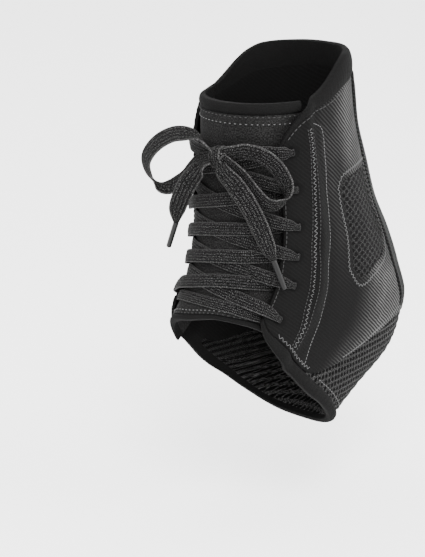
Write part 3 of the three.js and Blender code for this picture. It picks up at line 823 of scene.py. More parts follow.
def stops_on_form(share: Array, deg: Array, lift: Array, wide: Array) -> Path:
    """Lace stops at places on the form, the width lying down the form."""
    share, deg, lift, wide = np.broadcast_arrays(share, deg, lift, wide)
    return Path(lifted(share, deg, lift), directions(share, deg)[0], wide * CROSSED_WIDTH)


def crossing(side: int, row: int) -> Path:
    """One crossing from a hole on a side to the next row's hole on the other side."""
    reach, perch, over, wide = (CROSSING.data[name] for name in ("reach", "perch", "over", "wide"))
    deg = side * reach * HOLE_LINE
    share = lerp(LACE_ROWS[row - 1], LACE_ROWS[row], (1 + reach) / 2)
    lift = lerp(resting(deg), perched(deg), perch) + (over * (LACE_THICK + LACE_CLEAR) if side < 0 else 0)
    return stops_on_form(share, deg, lift, wide)


def turn(side: int, row: int) -> Path:
    """The turn of the lace up through a hole."""
    away, rise = TURN.data["away"], TURN.data["rise"]
    share, deg = np.full(6, LACE_ROWS[row]), np.full(6, side * HOLE_LINE)
    down, round_, _ = directions(share, deg)
    points = lifted(share, deg, lerp(resting(deg), perched(deg), rise)) + round_ * (side * away)[:, None]
    return Path(points, down, np.full(6, TURN_WIDE))


def lace_run(side: int) -> Path:
    """The lace from the middle of its lowest bar up one way to the knot."""
    lowest = len(LACE_ROWS) - 1
    reach = np.array([0.16, 0.32, 0.48, 0.66, 0.80, 0.90])
    deg = side * reach * HOLE_LINE
    path = stops_on_form(LACE_ROWS[lowest] + 0.022 * np.minimum(1, 4 * (1 - reach)), deg, resting(deg), 0.8)
    at = side
    for row in range(lowest, 0, -1):
        path = path + turn(at, row) + crossing(at, row)
        at = -at
    deg = at * np.array([0.90, 0.80]) * HOLE_LINE
    path = path + turn(at, 0) + stops_on_form(np.full(2, LACE_ROWS[0]), deg, perched(deg), 0.95)
    last = TO_KNOT[at]
    return path + stops_on_form(last.data["share"], last.data["deg"], last.data["lift"], 0.95)


def lacing() -> tuple[Array, Array, Array]:
    """The whole crossed lace, both ways up from its lowest bar."""
    middle = stops_on_form(np.array([LACE_ROWS[-1] + 0.022]), np.zeros(1), resting(np.zeros(1)), 0.8)
    return ribbon(lace_run(-1).turned_round() + middle + lace_run(1), 0.9)


@dataclass(frozen=True)
class Free:
    """A free length of the lace: its route and widths, and its tip where it has one."""

    name: str
    route: tuple[tuple[float, float, float], ...]
    across: tuple[float, float, float]
    wide: tuple[float, ...]
    tip: tuple[float, float, float] | None = None

    def path(self) -> Path:
        """The route's stops with their widths."""
        points = np.array(self.route)
        at = np.linspace(0, 1, len(self.wide))
        width = np.interp(np.linspace(0, 1, len(points)), at, self.wide) * LACE_WIDTH
        return Path(points, np.tile(np.array(self.across, float), (len(points), 1)), width)

    def aglet(self) -> tuple[Array, Array]:
        """The start and end of the hard tip."""
        start = np.array(self.route[-1])
        along = unit(np.array(self.tip) - start)
        return start - along * 0.4, start + along * (AGLET_LENGTH + 0.6)


FREE = (
    Free(
        "bow_loop_left",
        (
            (4.9, -48.5, 56.6), (-1.4, -52, 62.9), (-11.7, -54, 63.7), (-20.1, -55.5, 60.4), (-28, -56, 54.1),
            (-32, -55.5, 47.7), (-30.7, -54, 40.9), (-26.8, -52, 36.8), (-21.7, -50.5, 36.4),
            (-17.1, -49, 38.8), (-12.8, -48.3, 42.1), (-8.6, -48.3, 47), (-3.8, -48.5, 51.8), (4, -48.5, 54.6),
        ),
        (1.1, -0.32, -0.40),
        (0.62, 0.9, 1, 1, 1, 1, 1, 1, 1, 0.95, 0.85, 0.7, 0.55),
    ),
    Free(
        "bow_loop_right",
        (
            (11, -47.5, 56.5), (15.5, -46.7, 57.8), (20.1, -43.6, 58.6), (25.5, -39, 57), (29.3, -35, 53.4),
            (32.2, -31.4, 47.8), (33.9, -29.2, 41.2), (33.8, -30, 36.1), (31.4, -33.4, 33.4),
            (28, -36.4, 33.8), (24, -39.4, 38.4), (20.2, -42.2, 44.5), (17.4, -45.9, 50.2), (12, -48.4, 54.9),
        ),
        (0.75, -0.1, 0.9),
        (0.55, 0.8, 1, 1, 1, 0.95, 0.9, 0.85, 0.85, 0.85, 0.8, 0.65, 0.5),
    ),
    Free(
        "lace_end_left",
        (
            (5.6, -50.4, 52.2), (1.8, -54.0, 49.2), (-3.3, -55, 43.3), (-8.6, -55, 34.9), (-13, -54, 26.8),
            (-14.5, -53, 20.6),
        ),
        (0.75, 0.3, 0.4),
        (0.5, 0.85, 1, 1, 0.85, 0.28),
        (-23.3, -50.6, 4),
    ),
    Free(
        "lace_end_right",
        (
            (11.2, -49.4, 52.2), (14.4, -51.4, 49.4), (18.4, -48, 43.4), (23, -42.8, 32.7), (26.5, -38.9, 21.8),
            (29, -36.2, 12.7), (30.7, -34.4, 7),
        ),
        (0.75, 0.55, 0.45),
        (0.5, 0.8, 1, 1, 0.95, 0.8, 0.28),
        (33.6, -29.6, -8),
    ),
)


def knot() -> tuple[Array, Array, Array]:
    """The knot: three wraps of lace, made of flat ribbons round its middle.

    Returns:
        Points, quads and UV in millimetres.
    """
    parts = []
    for tilt, wide, size in ((0.25, 7.5, 0.86), (-0.55, 6.5, 0.80), (1.35, 7.0, 0.74)):
        angle = np.linspace(0, 2 * np.pi, 15)
        axis = np.array([np.cos(tilt), 0, np.sin(tilt)])
        side = np.array([-np.sin(tilt), 0, np.cos(tilt)])
        points = KNOT_AT + size * (
            np.cos(angle)[:, None] * side * KNOT_HALF[2] + np.sin(angle)[:, None] * np.array([0, -1, 0]) * KNOT_HALF[1]
        )
        path = Path(points, np.tile(axis, (15, 1)), wide + 0.6 * np.cos(2 * angle))
        parts.append(ribbon(path, 0.8))
    start, points, faces, uv = 0, [], [], []
    for p, f, w in parts:
        points.append(p), faces.append(f + start), uv.append(w)
        start += len(p)
    return np.concatenate(points), np.concatenate(faces), np.concatenate(uv)


def rod(start: Array, end: Array, radius: float) -> tuple[Array, Array, Array]:
    """A round rod with softened ends, as points, quads and UV."""
    along = unit(end - start)
    side = unit(np.cross(along, [0.3, 0.9, 0.2]))
    other = np.cross(along, side)
    at = np.array([0, 0, 0.02, 0.06, 0.5, 0.94, 0.98, 1.0, 1.0])
    size = np.array([0.3, 0.8, 1.0, 1.03, 1.0, 0.97, 0.9, 0.65, 0.25])
    angle = np.linspace(0, 2 * np.pi, 24, endpoint=False)
    ring = side * np.cos(angle)[:, None] + other * np.sin(angle)[:, None]
    centre = start + (end - start) * at[:, None]
    points = centre[:, None] + ring[None] * (radius * size)[:, None, None]
    r, s = np.meshgrid(np.arange(8), np.arange(24), indexing="ij")
    nxt = (s + 1) % 24
    walls = np.stack([r * 24 + s, r * 24 + nxt, (r + 1) * 24 + nxt, (r + 1) * 24 + s], -1).reshape(-1, 4)
    k = np.arange(11)
    cap = np.stack([k, k + 1, 24 - k - 2, (24 - k - 1) % 24], -1)
    faces = np.concatenate([walls, cap[:, ::-1], cap + 8 * 24])
    uv = np.stack(np.broadcast_arrays(angle[None, :] + 0 * at[:, None], at[:, None] * 14), -1).reshape(-1, 2)
    return points.reshape(-1, 3), faces, uv


class Seam(Enum):
    """How a row of stitches runs."""

    STRAIGHT = "straight"
    ZIGZAG = "zigzag"
    CORD = "cord"


@dataclass(frozen=True)
class Stitching:
    """A row of stitches along a line on a layer's outside."""

    rides: str
    share: Array
    deg: Array
    lift: Callable[[Array, Array], Array]
    kind: Seam = Seam.STRAIGHT
    pitch: float = 2.6
    length: float = 1.9
    radius: float = 0.27
    swing: float = 0.0

    def rods(self) -> tuple[Array, Array, Array, Array]:
        """Starts, ends, out directions and radii of the stitches, in millimetres."""
        fine = np.linspace(0, len(self.share) - 1, 400)
        share = np.interp(fine, np.arange(len(self.share)), self.share)
        deg = np.interp(fine, np.arange(len(self.deg)), self.deg)
        line = on_form(share, deg)
        run = np.concatenate([[0], np.cumsum(np.linalg.norm(np.diff(line, axis=0), axis=1))])
        count = max(int(run[-1] / self.pitch), 1)
        middle = (np.arange(count) + 0.5) * run[-1] / count
        half = self.length / 2
        ends = []
        for step in (-half, half):
            at = np.clip(middle + step, 0, run[-1])
            s, d = np.interp(at, run, share), np.interp(at, run, deg)
            base = lifted(s, d, self.lift(s, d))
            _, _, out = directions(s, d)
            ahead = np.clip(at + 0.5, 0, run[-1])
            behind = np.clip(at - 0.5, 0, run[-1])
            tangent = unit(
                on_form(np.interp(ahead, run, share), np.interp(ahead, run, deg))
                - on_form(np.interp(behind, run, share), np.interp(behind, run, deg))
            )
            sway = self.swing * np.sign(step) * np.where(np.arange(count) % 2 == 0, 1, -1)
            ends.append(base + np.cross(tangent, out) * sway[:, None])
        return ends[0], ends[1], out, np.full(count, self.radius)


def stitch_mesh(rows: Sequence[Stitching]) -> tuple[Array, Array, Array]:
    """All the stitches of a piece as small six-sided capsules.

    Args:
        rows: The rows of stitches.

    Returns:
        Points, quads and UV in millimetres.
    """
    start, end, out, radius = (np.concatenate(part) for part in zip(*(row.rods() for row in rows)))
    along = unit(end - start)
    side = unit(np.cross(out, along))
    up = np.cross(along, side)
    at, size = np.array([0, 0.16, 0.5, 0.84, 1.0]), np.array([0.35, 0.9, 1.0, 0.9, 0.35])
    arch = np.array([-0.5, 0.1, 0.35, 0.1, -0.5])
    angle = np.arange(6) * np.pi / 3
    ring = side[:, None] * np.cos(angle)[None, :, None] + up[:, None] * np.sin(angle)[None, :, None]
    centre = start[:, None] + (end - start)[:, None] * at[None, :, None]
    centre = centre + up[:, None] * (arch[None] * radius[:, None])[..., None]
    points = centre[:, :, None] + ring[:, None] * (size[None] * radius[:, None])[:, :, None, None]
    r, s = np.meshgrid(np.arange(4), np.arange(6), indexing="ij")
    nxt = (s + 1) % 6
    walls = np.stack([r * 6 + s, r * 6 + nxt, (r + 1) * 6 + nxt, (r + 1) * 6 + s], -1).reshape(-1, 4)
    cap = np.array([[0, 1, 2, 3], [0, 3, 4, 5]])
    one = np.concatenate([walls, cap[:, ::-1], cap + 24])
    faces = (one[None] + (np.arange(len(start)) * 30)[:, None, None]).reshape(-1, 4)
    points = points.reshape(-1, 3)
    return points, faces, points[:, :2]


def sides_of(share: Array, deg: Array) -> list[tuple[Array, Array]]:
    """A line on the left side and its mirror image on the right."""
    return [(share, deg), (share, -deg)]


STAY_FRONT = Table(
    "share deg",
    [
        (0.154, 68), (0.208, 69), (0.302, 67), (0.404, 66), (0.514, 64), (0.598, 65), (0.688, 65), (0.790, 66),
        (0.870, 69), (0.942, 70),
    ],
)
STAY_BACK = Table(
    "share deg",
    [
        (0.150, 72), (0.158, 78), (0.180, 81), (0.244, 80), (0.334, 77), (0.406, 77), (0.512, 75), (0.632, 74),
        (0.728, 74), (0.814, 76), (0.894, 79), (0.950, 82),
    ],
)
PALE, GREY = "thread_pale", "thread_grey"


def stitch_rows() -> dict[str, list[Stitching]]:
    """The rows of stitches by the piece they are sewn on.

    Returns:
        Lists of rows, keyed by piece and thread as piece:thread.
    """
    on_panel = lambda s, d: panel_raised(s, d) + 0.02
    rows: dict[str, list[Stitching]] = {}

    def add(key: str, row: Stitching) -> None:
        rows.setdefault(key, []).append(row)

    down = np.linspace(0.160, 0.935, 60)
    for share, deg in sides_of(down, STAY_FRONT.read(down, "deg")):
        name = "panel_left" if deg[0] > 0 else "panel_right"
        zigzag = Stitching(name, share, deg - np.sign(deg) * 0.2, on_panel, Seam.ZIGZAG, 1.25, 1.2, 0.15, 0.95)
        add(f"{name}:{PALE}", zigzag)
        for shift in (-2.2, 1.9):
            beside = deg + np.sign(deg) * shift
            row = Stitching(name, share, beside, on_panel, pitch=1.8, length=1.2, radius=0.2)
            add(f"{name}:{GREY}", row)
    down = np.linspace(0.150, 0.950, 60)
    for share, deg in sides_of(down, STAY_BACK.read(down, "deg")):
        name = "panel_left" if deg[0] > 0 else "panel_right"
        add(f"{name}:{PALE}", Stitching(name, share, deg, on_panel, pitch=1.7, length=1.45, radius=0.19))
    edge = np.linspace(0.23, 0.87, 50)
    for share, deg in sides_of(edge, np.full(50, FACING_EDGE + 1.4)):
        name = "panel_left" if deg[0] > 0 else "panel_right"
        add(f"{name}:{GREY}", Stitching(name, share, deg, on_panel, pitch=2.3, radius=0.22))
    frame = window_outline(40)
    centre = frame.mean(0)
    grown = centre + (frame - centre) * np.array([1.09, 1.09])
    grown = np.concatenate([grown, grown[:1]])
    for share, deg in sides_of(grown[:, 0], grown[:, 1]):
        name = "panel_left" if deg[0] > 0 else "panel_right"
        add(f"{name}:{PALE}", Stitching(name, share, deg, on_panel, Seam.ZIGZAG, 1.2, 1.15, 0.15, 0.7))
    low = np.linspace(100, 133, 30)
    for share, deg in sides_of(FOREFOOT.read(low, "cloth") - 0.012, low):
        name = "panel_left" if deg[0] > 0 else "panel_right"
        add(f"{name}:{PALE}", Stitching(name, share, deg, on_panel, pitch=2.2, length=1.5, radius=0.25))
    fore = np.linspace(58, 86, 30)
    for share, deg in sides_of(FOREFOOT.read(fore, "cloth") - 0.010, fore):
        name = "panel_left" if deg[0] > 0 else "panel_right"
        add(f"{name}:{PALE}", Stitching(name, share, deg, on_panel, Seam.ZIGZAG, 1.25, 1.2, 0.15, 0.8))
    top = np.linspace(52, 176, 90)
    for share, deg in sides_of(COLLAR.read(top, "low") + 0.006, top):
        name = "panel_left" if deg[0] > 0 else "panel_right"
        add(f"{name}:{GREY}", Stitching(name, share, deg, on_panel, pitch=2.4, radius=0.22))
    sole = np.linspace(96, 264, 120)
    on_mesh = lambda s, d: np.full(np.shape(s), MESH_THICK + 0.2)
    sewn = FOREFOOT.read(near(sole), "inner") - 0.012
    add(f"heel_mesh:{PALE}", Stitching("heel_mesh", sewn, sole, on_mesh, pitch=2.3, length=1.5))
    strip = np.linspace(0.09, 0.69, 80)
    on_strip = lambda s, d: panel_top(d) + STRIP_THICK - 0.15
    for side in (-1, 1):
        deg = np.full(80, BACK + side * (BACK - STRIP_EDGE - 1.0))
        add(f"back_strip:{GREY}", Stitching("back_strip", strip, deg, on_strip, Seam.CORD, 1.1, 1.25, 0.36))
        inner = np.full(80, BACK + side * (BACK - STRIP_EDGE - 5.0))
        add(f"back_strip:{GREY}", Stitching("back_strip", strip, inner, on_strip, pitch=2.4, radius=0.22))
    wide = np.linspace(-62, 62, 80)
    on_tongue = lambda s, d: tongue_top(d) + 0.02
    for step, thread in ((0.005, GREY), (0.024, PALE)):
        for line in (np.full(80, TONGUE_TOP + BINDING + step), tongue_foot(wide) - BINDING - step):
            row = Stitching("tongue", line, wide, on_tongue, pitch=2.3, length=0.9, radius=0.24)
            add(f"tongue:{thread}", row)
    return rows


class Value:
    """A shader number that adds, multiplies and compares as a number does, by Math nodes."""

    def __init__(self, tree: bpy.types.NodeTree, socket: bpy.types.NodeSocket) -> None:
        self.tree = tree
        self.socket = socket

    def _math(self, operation: str, *others: "Value | float", clamp: bool = False) -> "Value":
        node = self.tree.nodes.new("ShaderNodeMath")
        node.operation = operation
        node.use_clamp = clamp
        for place, item in zip(node.inputs, (self, *others)):
            if isinstance(item, Value):
                self.tree.links.new(item.socket, place)
            else:
                place.default_value = item
        return Value(self.tree, node.outputs[0])

    def _flipped(self, operation: str, first: float) -> "Value":
        node = self.tree.nodes.new("ShaderNodeMath")
        node.operation = operation
        node.inputs[0].default_value = first
        self.tree.links.new(self.socket, node.inputs[1])
        return Value(self.tree, node.outputs[0])

    def __add__(self, other: "Value | float") -> "Value":
        return self._math("ADD", other)

    def __sub__(self, other: "Value | float") -> "Value":
        return self._math("SUBTRACT", other)

    def __mul__(self, other: "Value | float") -> "Value":
        return self._math("MULTIPLY", other)

    def __truediv__(self, other: "Value | float") -> "Value":
        return self._math("DIVIDE", other)

    def __radd__(self, other: float) -> "Value":
        return self._math("ADD", other)

    def __rmul__(self, other: float) -> "Value":
        return self._math("MULTIPLY", other)

    def __rsub__(self, other: float) -> "Value":
        return self._flipped("SUBTRACT", other)

    def __rtruediv__(self, other: float) -> "Value":
        return self._flipped("DIVIDE", other)

    def __neg__(self) -> "Value":
        return self * -1.0

    def sin(self) -> "Value":
        """The sine."""
        return self._math("SINE")

    def fract(self) -> "Value":
        """The part after the point."""
        return self._math("FRACT")

    def root(self) -> "Value":
        """The square root."""
        return self._math("SQRT")

    def floor(self) -> "Value":
        """The whole part."""
        return self._math("FLOOR")

    def absolute(self) -> "Value":
        """The size without its sign."""
        return self._math("ABSOLUTE")

    def least(self, other: "Value | float") -> "Value":
        """The smaller of two."""
        return self._math("MINIMUM", other)

    def most(self, other: "Value | float") -> "Value":
        """The larger of two."""
        return self._math("MAXIMUM", other)

    def power(self, other: float) -> "Value":
        """Raised to a power."""
        return self._math("POWER", other)

    def step(self, start: float, end: float) -> "Value":
        """A smooth step from 0 at start to 1 at end."""
        t = ((self - start) / (end - start))._math("ADD", 0.0, clamp=True)
        return t * t * (3.0 - 2.0 * t)


class Shader:
    """A material being built: its nodes, the cloth's own coordinates and its outputs."""

    def __init__(self, name: str) -> None:
        self.material = bpy.data.materials.new(name)
        self.material.use_nodes = True
        self.tree = self.material.node_tree
        self.tree.nodes.clear()
        self.output = self.node("ShaderNodeOutputMaterial")
        self.surface = self.node("ShaderNodeBsdfPrincipled")
        self.tree.links.new(self.surface.outputs["BSDF"], self.output.inputs["Surface"])

    def node(self, kind: str, links: dict[str, Value] | None = None, **settings: object) -> bpy.types.Node:
        """Add a node.

        Args:
            kind: The node's type.
            links: Values for its inputs, by input name.
            settings: Its properties.

        Returns:
            The node.
        """
        node = self.tree.nodes.new(kind)
        for name, value in settings.items():
            setattr(node, name, value)
        for name, value in (links or {}).items():
            if isinstance(value, Value):
                self.tree.links.new(value.socket, node.inputs[name])
            else:
                node.inputs[name].default_value = value
        return node

    def coordinates(self) -> tuple[Value, Value]:
        """The cloth's lengths round and down, in millimetres."""
        place = self.node("ShaderNodeUVMap", uv_map="cloth")
        split = self.node("ShaderNodeSeparateXYZ")
        self.tree.links.new(place.outputs[0], split.inputs[0])
        return Value(self.tree, split.outputs[0]), Value(self.tree, split.outputs[1])

    def place(self) -> tuple[Value, Value, Value]:
        """The point's place on the object, in millimetres."""
        node = self.node("ShaderNodeTexCoord")
        split = self.node("ShaderNodeSeparateXYZ")
        self.tree.links.new(node.outputs["Object"], split.inputs[0])
        x, y, z = (Value(self.tree, split.outputs[i]) * 1000.0 for i in range(3))
        return x, y, z

    def attribute(self, name: str) -> Value:
        """A number stored on the mesh."""
        return Value(self.tree, self.node("ShaderNodeAttribute", attribute_name=name).outputs["Fac"])

    def noise(self, scale: float, stretch: tuple[float, float] = (1, 1), detail: float = 3.0) -> Value:
        """Noise on the cloth's own coordinates.

        Args:
            scale: How many times finer than a millimetre.
            stretch: Factors for round and down.
            detail: The noise's detail.

        Returns:
            The noise, about 0.5.
        """
        u, v = self.coordinates()
        join = self.node("ShaderNodeCombineXYZ", {"X": u * stretch[0], "Y": v * stretch[1]})
        node = self.node("ShaderNodeTexNoise", {"Scale": scale, "Detail": detail})
        self.tree.links.new(join.outputs[0], node.inputs["Vector"])
        return Value(self.tree, node.outputs[0])

    def colour(self, dark: tuple[float, float, float], pale: tuple[float, float, float], mix: Value) -> None:
        """Feed the base colour with a mix of two colours."""
        node = self.node("ShaderNodeMix", data_type="RGBA", clamp_factor=True)
        node.inputs[6].default_value = (*dark, 1)
        node.inputs[7].default_value = (*pale, 1)
        self.tree.links.new(mix.socket, node.inputs[0])
        self.tree.links.new(node.outputs[2], self.surface.inputs["Base Color"])

    def bump(self, height: Value, depth: float) -> None:
        """Feed the normal with a relief, depth in millimetres."""
        node = self.node("ShaderNodeBump", {"Height": height, "Distance": depth * MM, "Strength": 1.0})
        self.tree.links.new(node.outputs[0], self.surface.inputs["Normal"])

    def constant(self, **values: float) -> None:
        """Set plain numbers on the surface, with spaces in input names written as underscores."""
        for name, value in values.items():
            self.surface.inputs[name.replace("_", " ")].default_value = value


def grey(level: float, warmth: float = 0.0) -> tuple[float, float, float]:
    """A near-neutral colour; warmth above 0 is redder, below 0 bluer."""
    return level * (1 + warmth), level, level * (1 - warmth)


@dataclass(frozen=True)
class ClothFinish:
    """Numbers that a woven finish shares."""

    dark: float
    pale: float
    rough: float = 0.85
    sheen: float = 0.0
    warmth: float = 0.01

    def apply(self, shader: Shader, mix: Value) -> None:
        """Colour the shader between dark and pale and set its gloss."""
        shader.colour(grey(self.dark, self.warmth), grey(self.pale, self.warmth), mix)
        shader.constant(
            Roughness=self.rough, Sheen_Weight=self.sheen, Sheen_Roughness=0.5, Specular_IOR_Level=0.04
        )


def twill(name: str, rises: float) -> bpy.types.Material:
    """Fine diagonal twill, its raised lines painted pale where the cloth catches the light, a painted sheen.

    Args:
        name: The material's name.
        rises: 0 for lines that lie in the panel's own plane, 1 for lines across the back.

    Returns:
        The material.
    """
    s = Shader(name)
    x, y, z = s.place()
    painted_sheen, hole, outer = s.attribute("painted_sheen"), s.attribute("hole"), s.attribute("outer")
    wander = s.noise(0.10) * 0.7
    phase = (y * (1.0 - rises) + x * rises) * 0.40 + z * 0.485 + wander
    line = ((phase * 6.2832).sin() * 0.5 + 0.5).power(1.8)
    fleck = s.noise(2.6, (1, 1.7), 2.0).step(0.40, 0.62)
    fine = s.noise(5.0, (1, 1), 1.0)
    broad = s.noise(0.07, (1, 1), 2.0).step(0.35, 0.7)
    # Painted sheen: the outside's raised lines are painted paler by the per-place sheen mask, standing in for light
    # catching the twill.
    lit = outer * painted_sheen * (0.05 + line * 0.95) * (0.5 + 0.5 * fleck) * (0.7 + 0.3 * broad)
    lit = lit + (fine - 0.5) * 0.05 + line * 0.012
    # Painted shade: the twill is painted at its dark colour within about 2.3 mm of each lace hole's centre, fading out
    # by 3.3 mm, standing in for the shade inside the holes, which are not cut.
    clear_of_hole_shade = hole.step(2.3, 3.3)
    ClothFinish(0.0022, 0.105).apply(s, lit * clear_of_hole_shade + (clear_of_hole_shade - 1.0) * 0.6)
    s.bump(line * outer * (0.12 + painted_sheen * 0.7) + fine * 0.5, 0.16)
    return s.material


def spacer_mesh() -> bpy.types.Material:
    """Open spacer mesh: staggered round holes in speckled threads."""
    s = Shader("spacer_mesh")
    _, y, z = s.place()
    wander = (s.noise(0.5) - 0.5) * 0.8
    pitch = 3.7

    def reach(shift: float) -> Value:
        side = ((y * 0.68 + wander) / pitch + shift).fract() - 0.5
        rise = ((z + wander + y * 0.12) / pitch + shift).fract() - 0.5
        return (side * side + rise * rise).root() * pitch

    hole = reach(0.0).least(reach(0.5)).step(0.80, 1.15)
    fleck = s.noise(2.4, (1, 1), 2.0).step(0.45, 0.68)
    ClothFinish(0.0005, 0.080, 0.8).apply(s, hole * (0.03 + 0.70 * fleck * fleck))
    s.bump(hole + fleck * 0.3, 0.7)
    return s.material


def ribbed_mesh() -> bpy.types.Material:
    """Ribbed mesh: level ribs with rows of small dark holes between them."""
    s = Shader("ribbed_mesh")
    u, _ = s.coordinates()
    height = s.attribute("height")
    wander = (s.noise(0.4) - 0.5) * 0.8
    row = (height + wander) / 3.1
    odd = (row.floor() * 0.5).fract()
    x = ((u + wander) / 2.6 + odd).fract() - 0.5
    y = row.fract() - 0.5
    hole = (x * x * 6.8 + y * y * 9.6).root().step(0.75, 1.15)
    fleck = s.noise(1.7, (0.6, 2.2), 2.0).step(0.47, 0.62)
    ClothFinish(0.0005, 0.090, 0.8).apply(s, hole * (0.02 + 0.8 * fleck))
    s.bump(hole + fleck * 0.3, 0.6)
    return s.material


def binding() -> bpy.types.Material:
    """Soft matte black binding with a short nap."""
    s = Shader("binding")
    fuzz = s.noise(3.2, (1, 1), 4.0)
    ClothFinish(0.002, 0.008, 0.95, 0.0).apply(s, fuzz.step(0.35, 0.8))
    s.bump(fuzz, 0.22)
    return s.material


def tongue_cloth() -> bpy.types.Material:
    """Brushed dark grey cloth."""
    s = Shader("tongue_cloth")
    nap = s.noise(2.2, (1.0, 0.6), 4.0)
    broad = s.noise(0.09, (1, 1), 2.0).step(0.3, 0.75)
    ClothFinish(0.003, 0.022, 0.95, 0.0).apply(s, nap.step(0.35, 0.75) * (0.55 + 0.45 * broad))
    s.bump(nap, 0.25)
    return s.material


def lace() -> bpy.types.Material:
    """Woven lace: five lengthwise ribs with pale flecks and paler edges."""
    s = Shader("lace")
    x, along = s.coordinates()
    rib = (x * 15.708).sin() * 0.5 + 0.5
    weave = ((along * 3.6) + (x * 15.7)).sin() * ((along * 3.6) - (x * 15.7)).sin() * 0.5 + 0.5
    fleck = s.noise(2.2, (3.0, 1.0), 2.0).step(0.49, 0.60)
    edge = x.absolute().step(0.78, 0.97)
    woven = fleck * (0.15 + 0.85 * weave) * (0.15 + 0.85 * rib)
    ClothFinish(0.0008, 0.070, 0.85, 0.0).apply(s, woven + edge * 0.2)
    s.bump(weave * 0.7 + rib * 0.6, 0.22)
    return s.material


def plain(name: str, level: float, rough: float, sheen: float) -> bpy.types.Material:
    """A finish of one near-neutral grey.

    Args:
        name: The material's name.
        level: Its grey.
        rough: Roughness.
        sheen: Sheen weight.

    Returns:
        The material.
    """
    s = Shader(name)
    grain = s.noise(1.5, (1, 1), 3.0)
    s.colour(grey(level * 0.7), grey(level * 1.3), grain)
    s.constant(Roughness=rough, Sheen_Weight=sheen, Specular_IOR_Level=max(0.05, 0.3 - 0.4 * rough))
    return s.material


def finishes() -> dict[str, bpy.types.Material]:
    """Every material by slot."""
    return {
        "twill": twill("twill", 0.0),
        "back_strip": twill("twill_strip", 1.0),
        "spacer_mesh": spacer_mesh(),
        "ribbed_mesh": ribbed_mesh(),
        "binding": binding(),
        "tongue_cloth": tongue_cloth(),
        "lace": lace(),
        "aglet": plain("aglet", 0.003, 0.34, 0.0),
        PALE: plain(PALE, 0.07, 0.8, 0.0),
        GREY: plain(GREY, 0.028, 0.8, 0.0),
    }


@dataclass(frozen=True)
class View:
    """The photograph's standpoint, as a direction and a distance from the ankle's middle."""

    azimuth: float = 42.0
    elevation: float = 15.0
    distance: float = 0.9
    lens: float = 119.25
    aim_right: float = -0.03333
    aim_up: float = -0.01599

    def place(self) -> bpy.types.Object:
        """Add the camera and make it the scene's."""
        a, e = np.radians(self.azimuth), np.radians(self.elevation)
        back = np.array([np.sin(a) * np.cos(e), -np.cos(a) * np.cos(e), np.sin(e)])
        right = np.array([np.cos(a), np.sin(a), 0.0])
        up = np.array([-np.sin(a) * np.sin(e), np.cos(a) * np.sin(e), np.cos(e)])
        look = -back + self.aim_right * right + self.aim_up * up
        data = bpy.data.cameras.new("camera")
        data.lens = self.lens
        data.sensor_width = 36.0
        camera = bpy.data.objects.new("camera", data)
        camera.location = Vector(back * self.distance)
        camera.rotation_euler = Vector(look).to_track_quat("-Z", "Y").to_euler()
        bpy.context.scene.collection.objects.link(camera)
        bpy.context.scene.camera = camera
        return camera


@dataclass(frozen=True)
class Lamp:
    """A soft area lamp aimed at the brace."""

    name: str
    place: tuple[float, float, float]
    size: float
    power: float

    def light(self) -> bpy.types.Object:
        """Add the lamp."""
        data = bpy.data.lights.new(self.name, "AREA")
        data.shape = "DISK"
        data.size = self.size
        data.energy = self.power
        lamp = bpy.data.objects.new(self.name, data)
        lamp.location = self.place
        lamp.rotation_euler = (-Vector(self.place)).to_track_quat("-Z", "Y").to_euler()
        bpy.context.scene.collection.objects.link(lamp)
        return lamp


LAMPS = (
    Lamp("key", (1.1, -0.9, 1.5), 0.9, 60.0),
    Lamp("side", (1.5, 0.9, 0.5), 0.8, 30.0),
    Lamp("fill", (-1.3, -1.2, 0.7), 1.0, 14.0),
)


def make_stage(level: float) -> None:
    """A plain pale floor and a pale world.

    Args:
        level: Height of the floor in metres.
    """
    shader = Shader("floor")
    shader.constant(Roughness=0.9)
    shader.surface.inputs["Base Color"].default_value = (0.92, 0.92, 0.92, 1)
    corners = np.array([[-6, -6], [6, -6], [6, 6], [-6, 6]]) / MM
    points = np.concatenate([corners, np.full((4, 1), level / MM)], 1)
    floor = make_object("floor", points, np.array([[0, 1, 2, 3]]), corners, shader.material)
    floor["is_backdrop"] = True
    world = bpy.data.worlds.new("world")
    world.use_nodes = True
    world.node_tree.nodes["Background"].inputs["Color"].default_value = (1, 1, 1, 1)
    world.node_tree.nodes["Background"].inputs["Strength"].default_value = 3.6
    bpy.context.scene.world = world


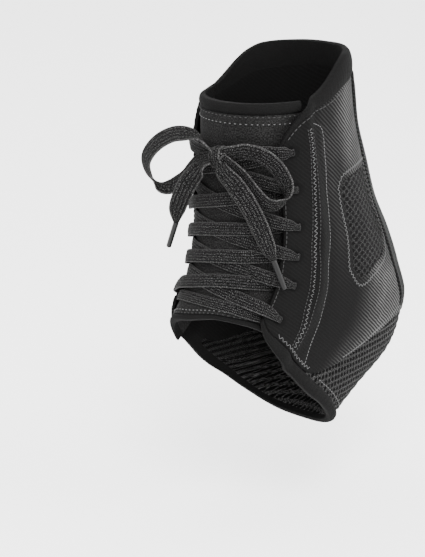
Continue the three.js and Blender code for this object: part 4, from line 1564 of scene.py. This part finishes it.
@dataclass
class Brace:
    """The whole brace: cloth, stitches, crossed lace and bow."""

    materials: dict[str, bpy.types.Material]
    objects: dict[str, bpy.types.Object] = field(default_factory=dict)

    def add(self, obj: bpy.types.Object, slot: str, *nodes: str) -> bpy.types.Object:
        """Hang an object on the part, hide the parts that it stands for and keep it by name."""
        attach(obj, "root")
        if nodes:
            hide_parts(*nodes)
        self.objects[obj.name] = obj
        return obj

    def crossed_lace(self) -> bpy.types.Object:
        """The lacing over the tongue, and the knot, which is handed back."""
        line = (lace_run(-1).turned_round() + lace_run(1)).fine(0.9).points
        LOG.info("the crossed lace is %.0f mm long", np.linalg.norm(np.diff(line, axis=0), axis=1).sum())
        self.add(make_object("lacing", *lacing(), self.materials["lace"]), "lace", "lacing")
        return self.add(make_object("knot", *knot(), self.materials["lace"]), "lace", "knot")

    def free_laces(self, tied: bpy.types.Object) -> None:
        """The bow's loops and ends with their tips.

        Args:
            tied: The knot that they come out of; not used.
        """
        for free in FREE:
            shape = ribbon(free.path(), 0.8)
            obj = self.add(make_object(free.name, *shape, self.materials["lace"]), "lace", free.name)
            line = free.path().fine(0.8).points * MM
            if free.tip is None:
                continue
            tip_name = free.name.replace("lace_end", "aglet")
            tip = make_object(tip_name, *rod(*free.aglet(), AGLET_RADIUS), self.materials["aglet"])
            self.add(tip, "aglet", tip_name)

    def cloth(self) -> None:
        """Every layer of cloth."""
        for layer in cloth_layers():
            finish = self.materials.get(layer.name, self.materials[layer.slot])
            obj = self.add(layer.build(finish), layer.slot, layer.name)
            if layer.sheet:
                LOG.info("%s is cut %.0f by %.0f mm", layer.name, layer.flat[0] / MM, layer.flat[1] / MM)

    def stitches(self) -> None:
        """The rows of stitches."""
        for key, rows in stitch_rows().items():
            piece, thread = key.split(":")
            obj = make_object(f"{piece}_{thread}", *stitch_mesh(rows), self.materials[thread])
            self.add(obj, "")


def main() -> None:
    """Build the scene."""
    logging.basicConfig(level=logging.INFO)
    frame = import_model()
    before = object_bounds()
    LOG.info("frame %s", type(frame).__name__)
    View().place()
    brace = Brace(finishes())
    brace.free_laces(brace.crossed_lace())
    brace.cloth()
    brace.stitches()
    for lamp in LAMPS:
        lamp.light()
    make_stage(-0.135)
    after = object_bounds()
    {"cad": as_lists(before), "visual": as_lists(after)}


def as_lists(value: object) -> object:
    """Vectors and tuples as plain lists."""
    if isinstance(value, dict):
        return {key: as_lists(item) for key, item in value.items()}
    if isinstance(value, (int, float, str)):
        return value
    return [as_lists(item) for item in value]


if __name__ == "__main__":
    main()
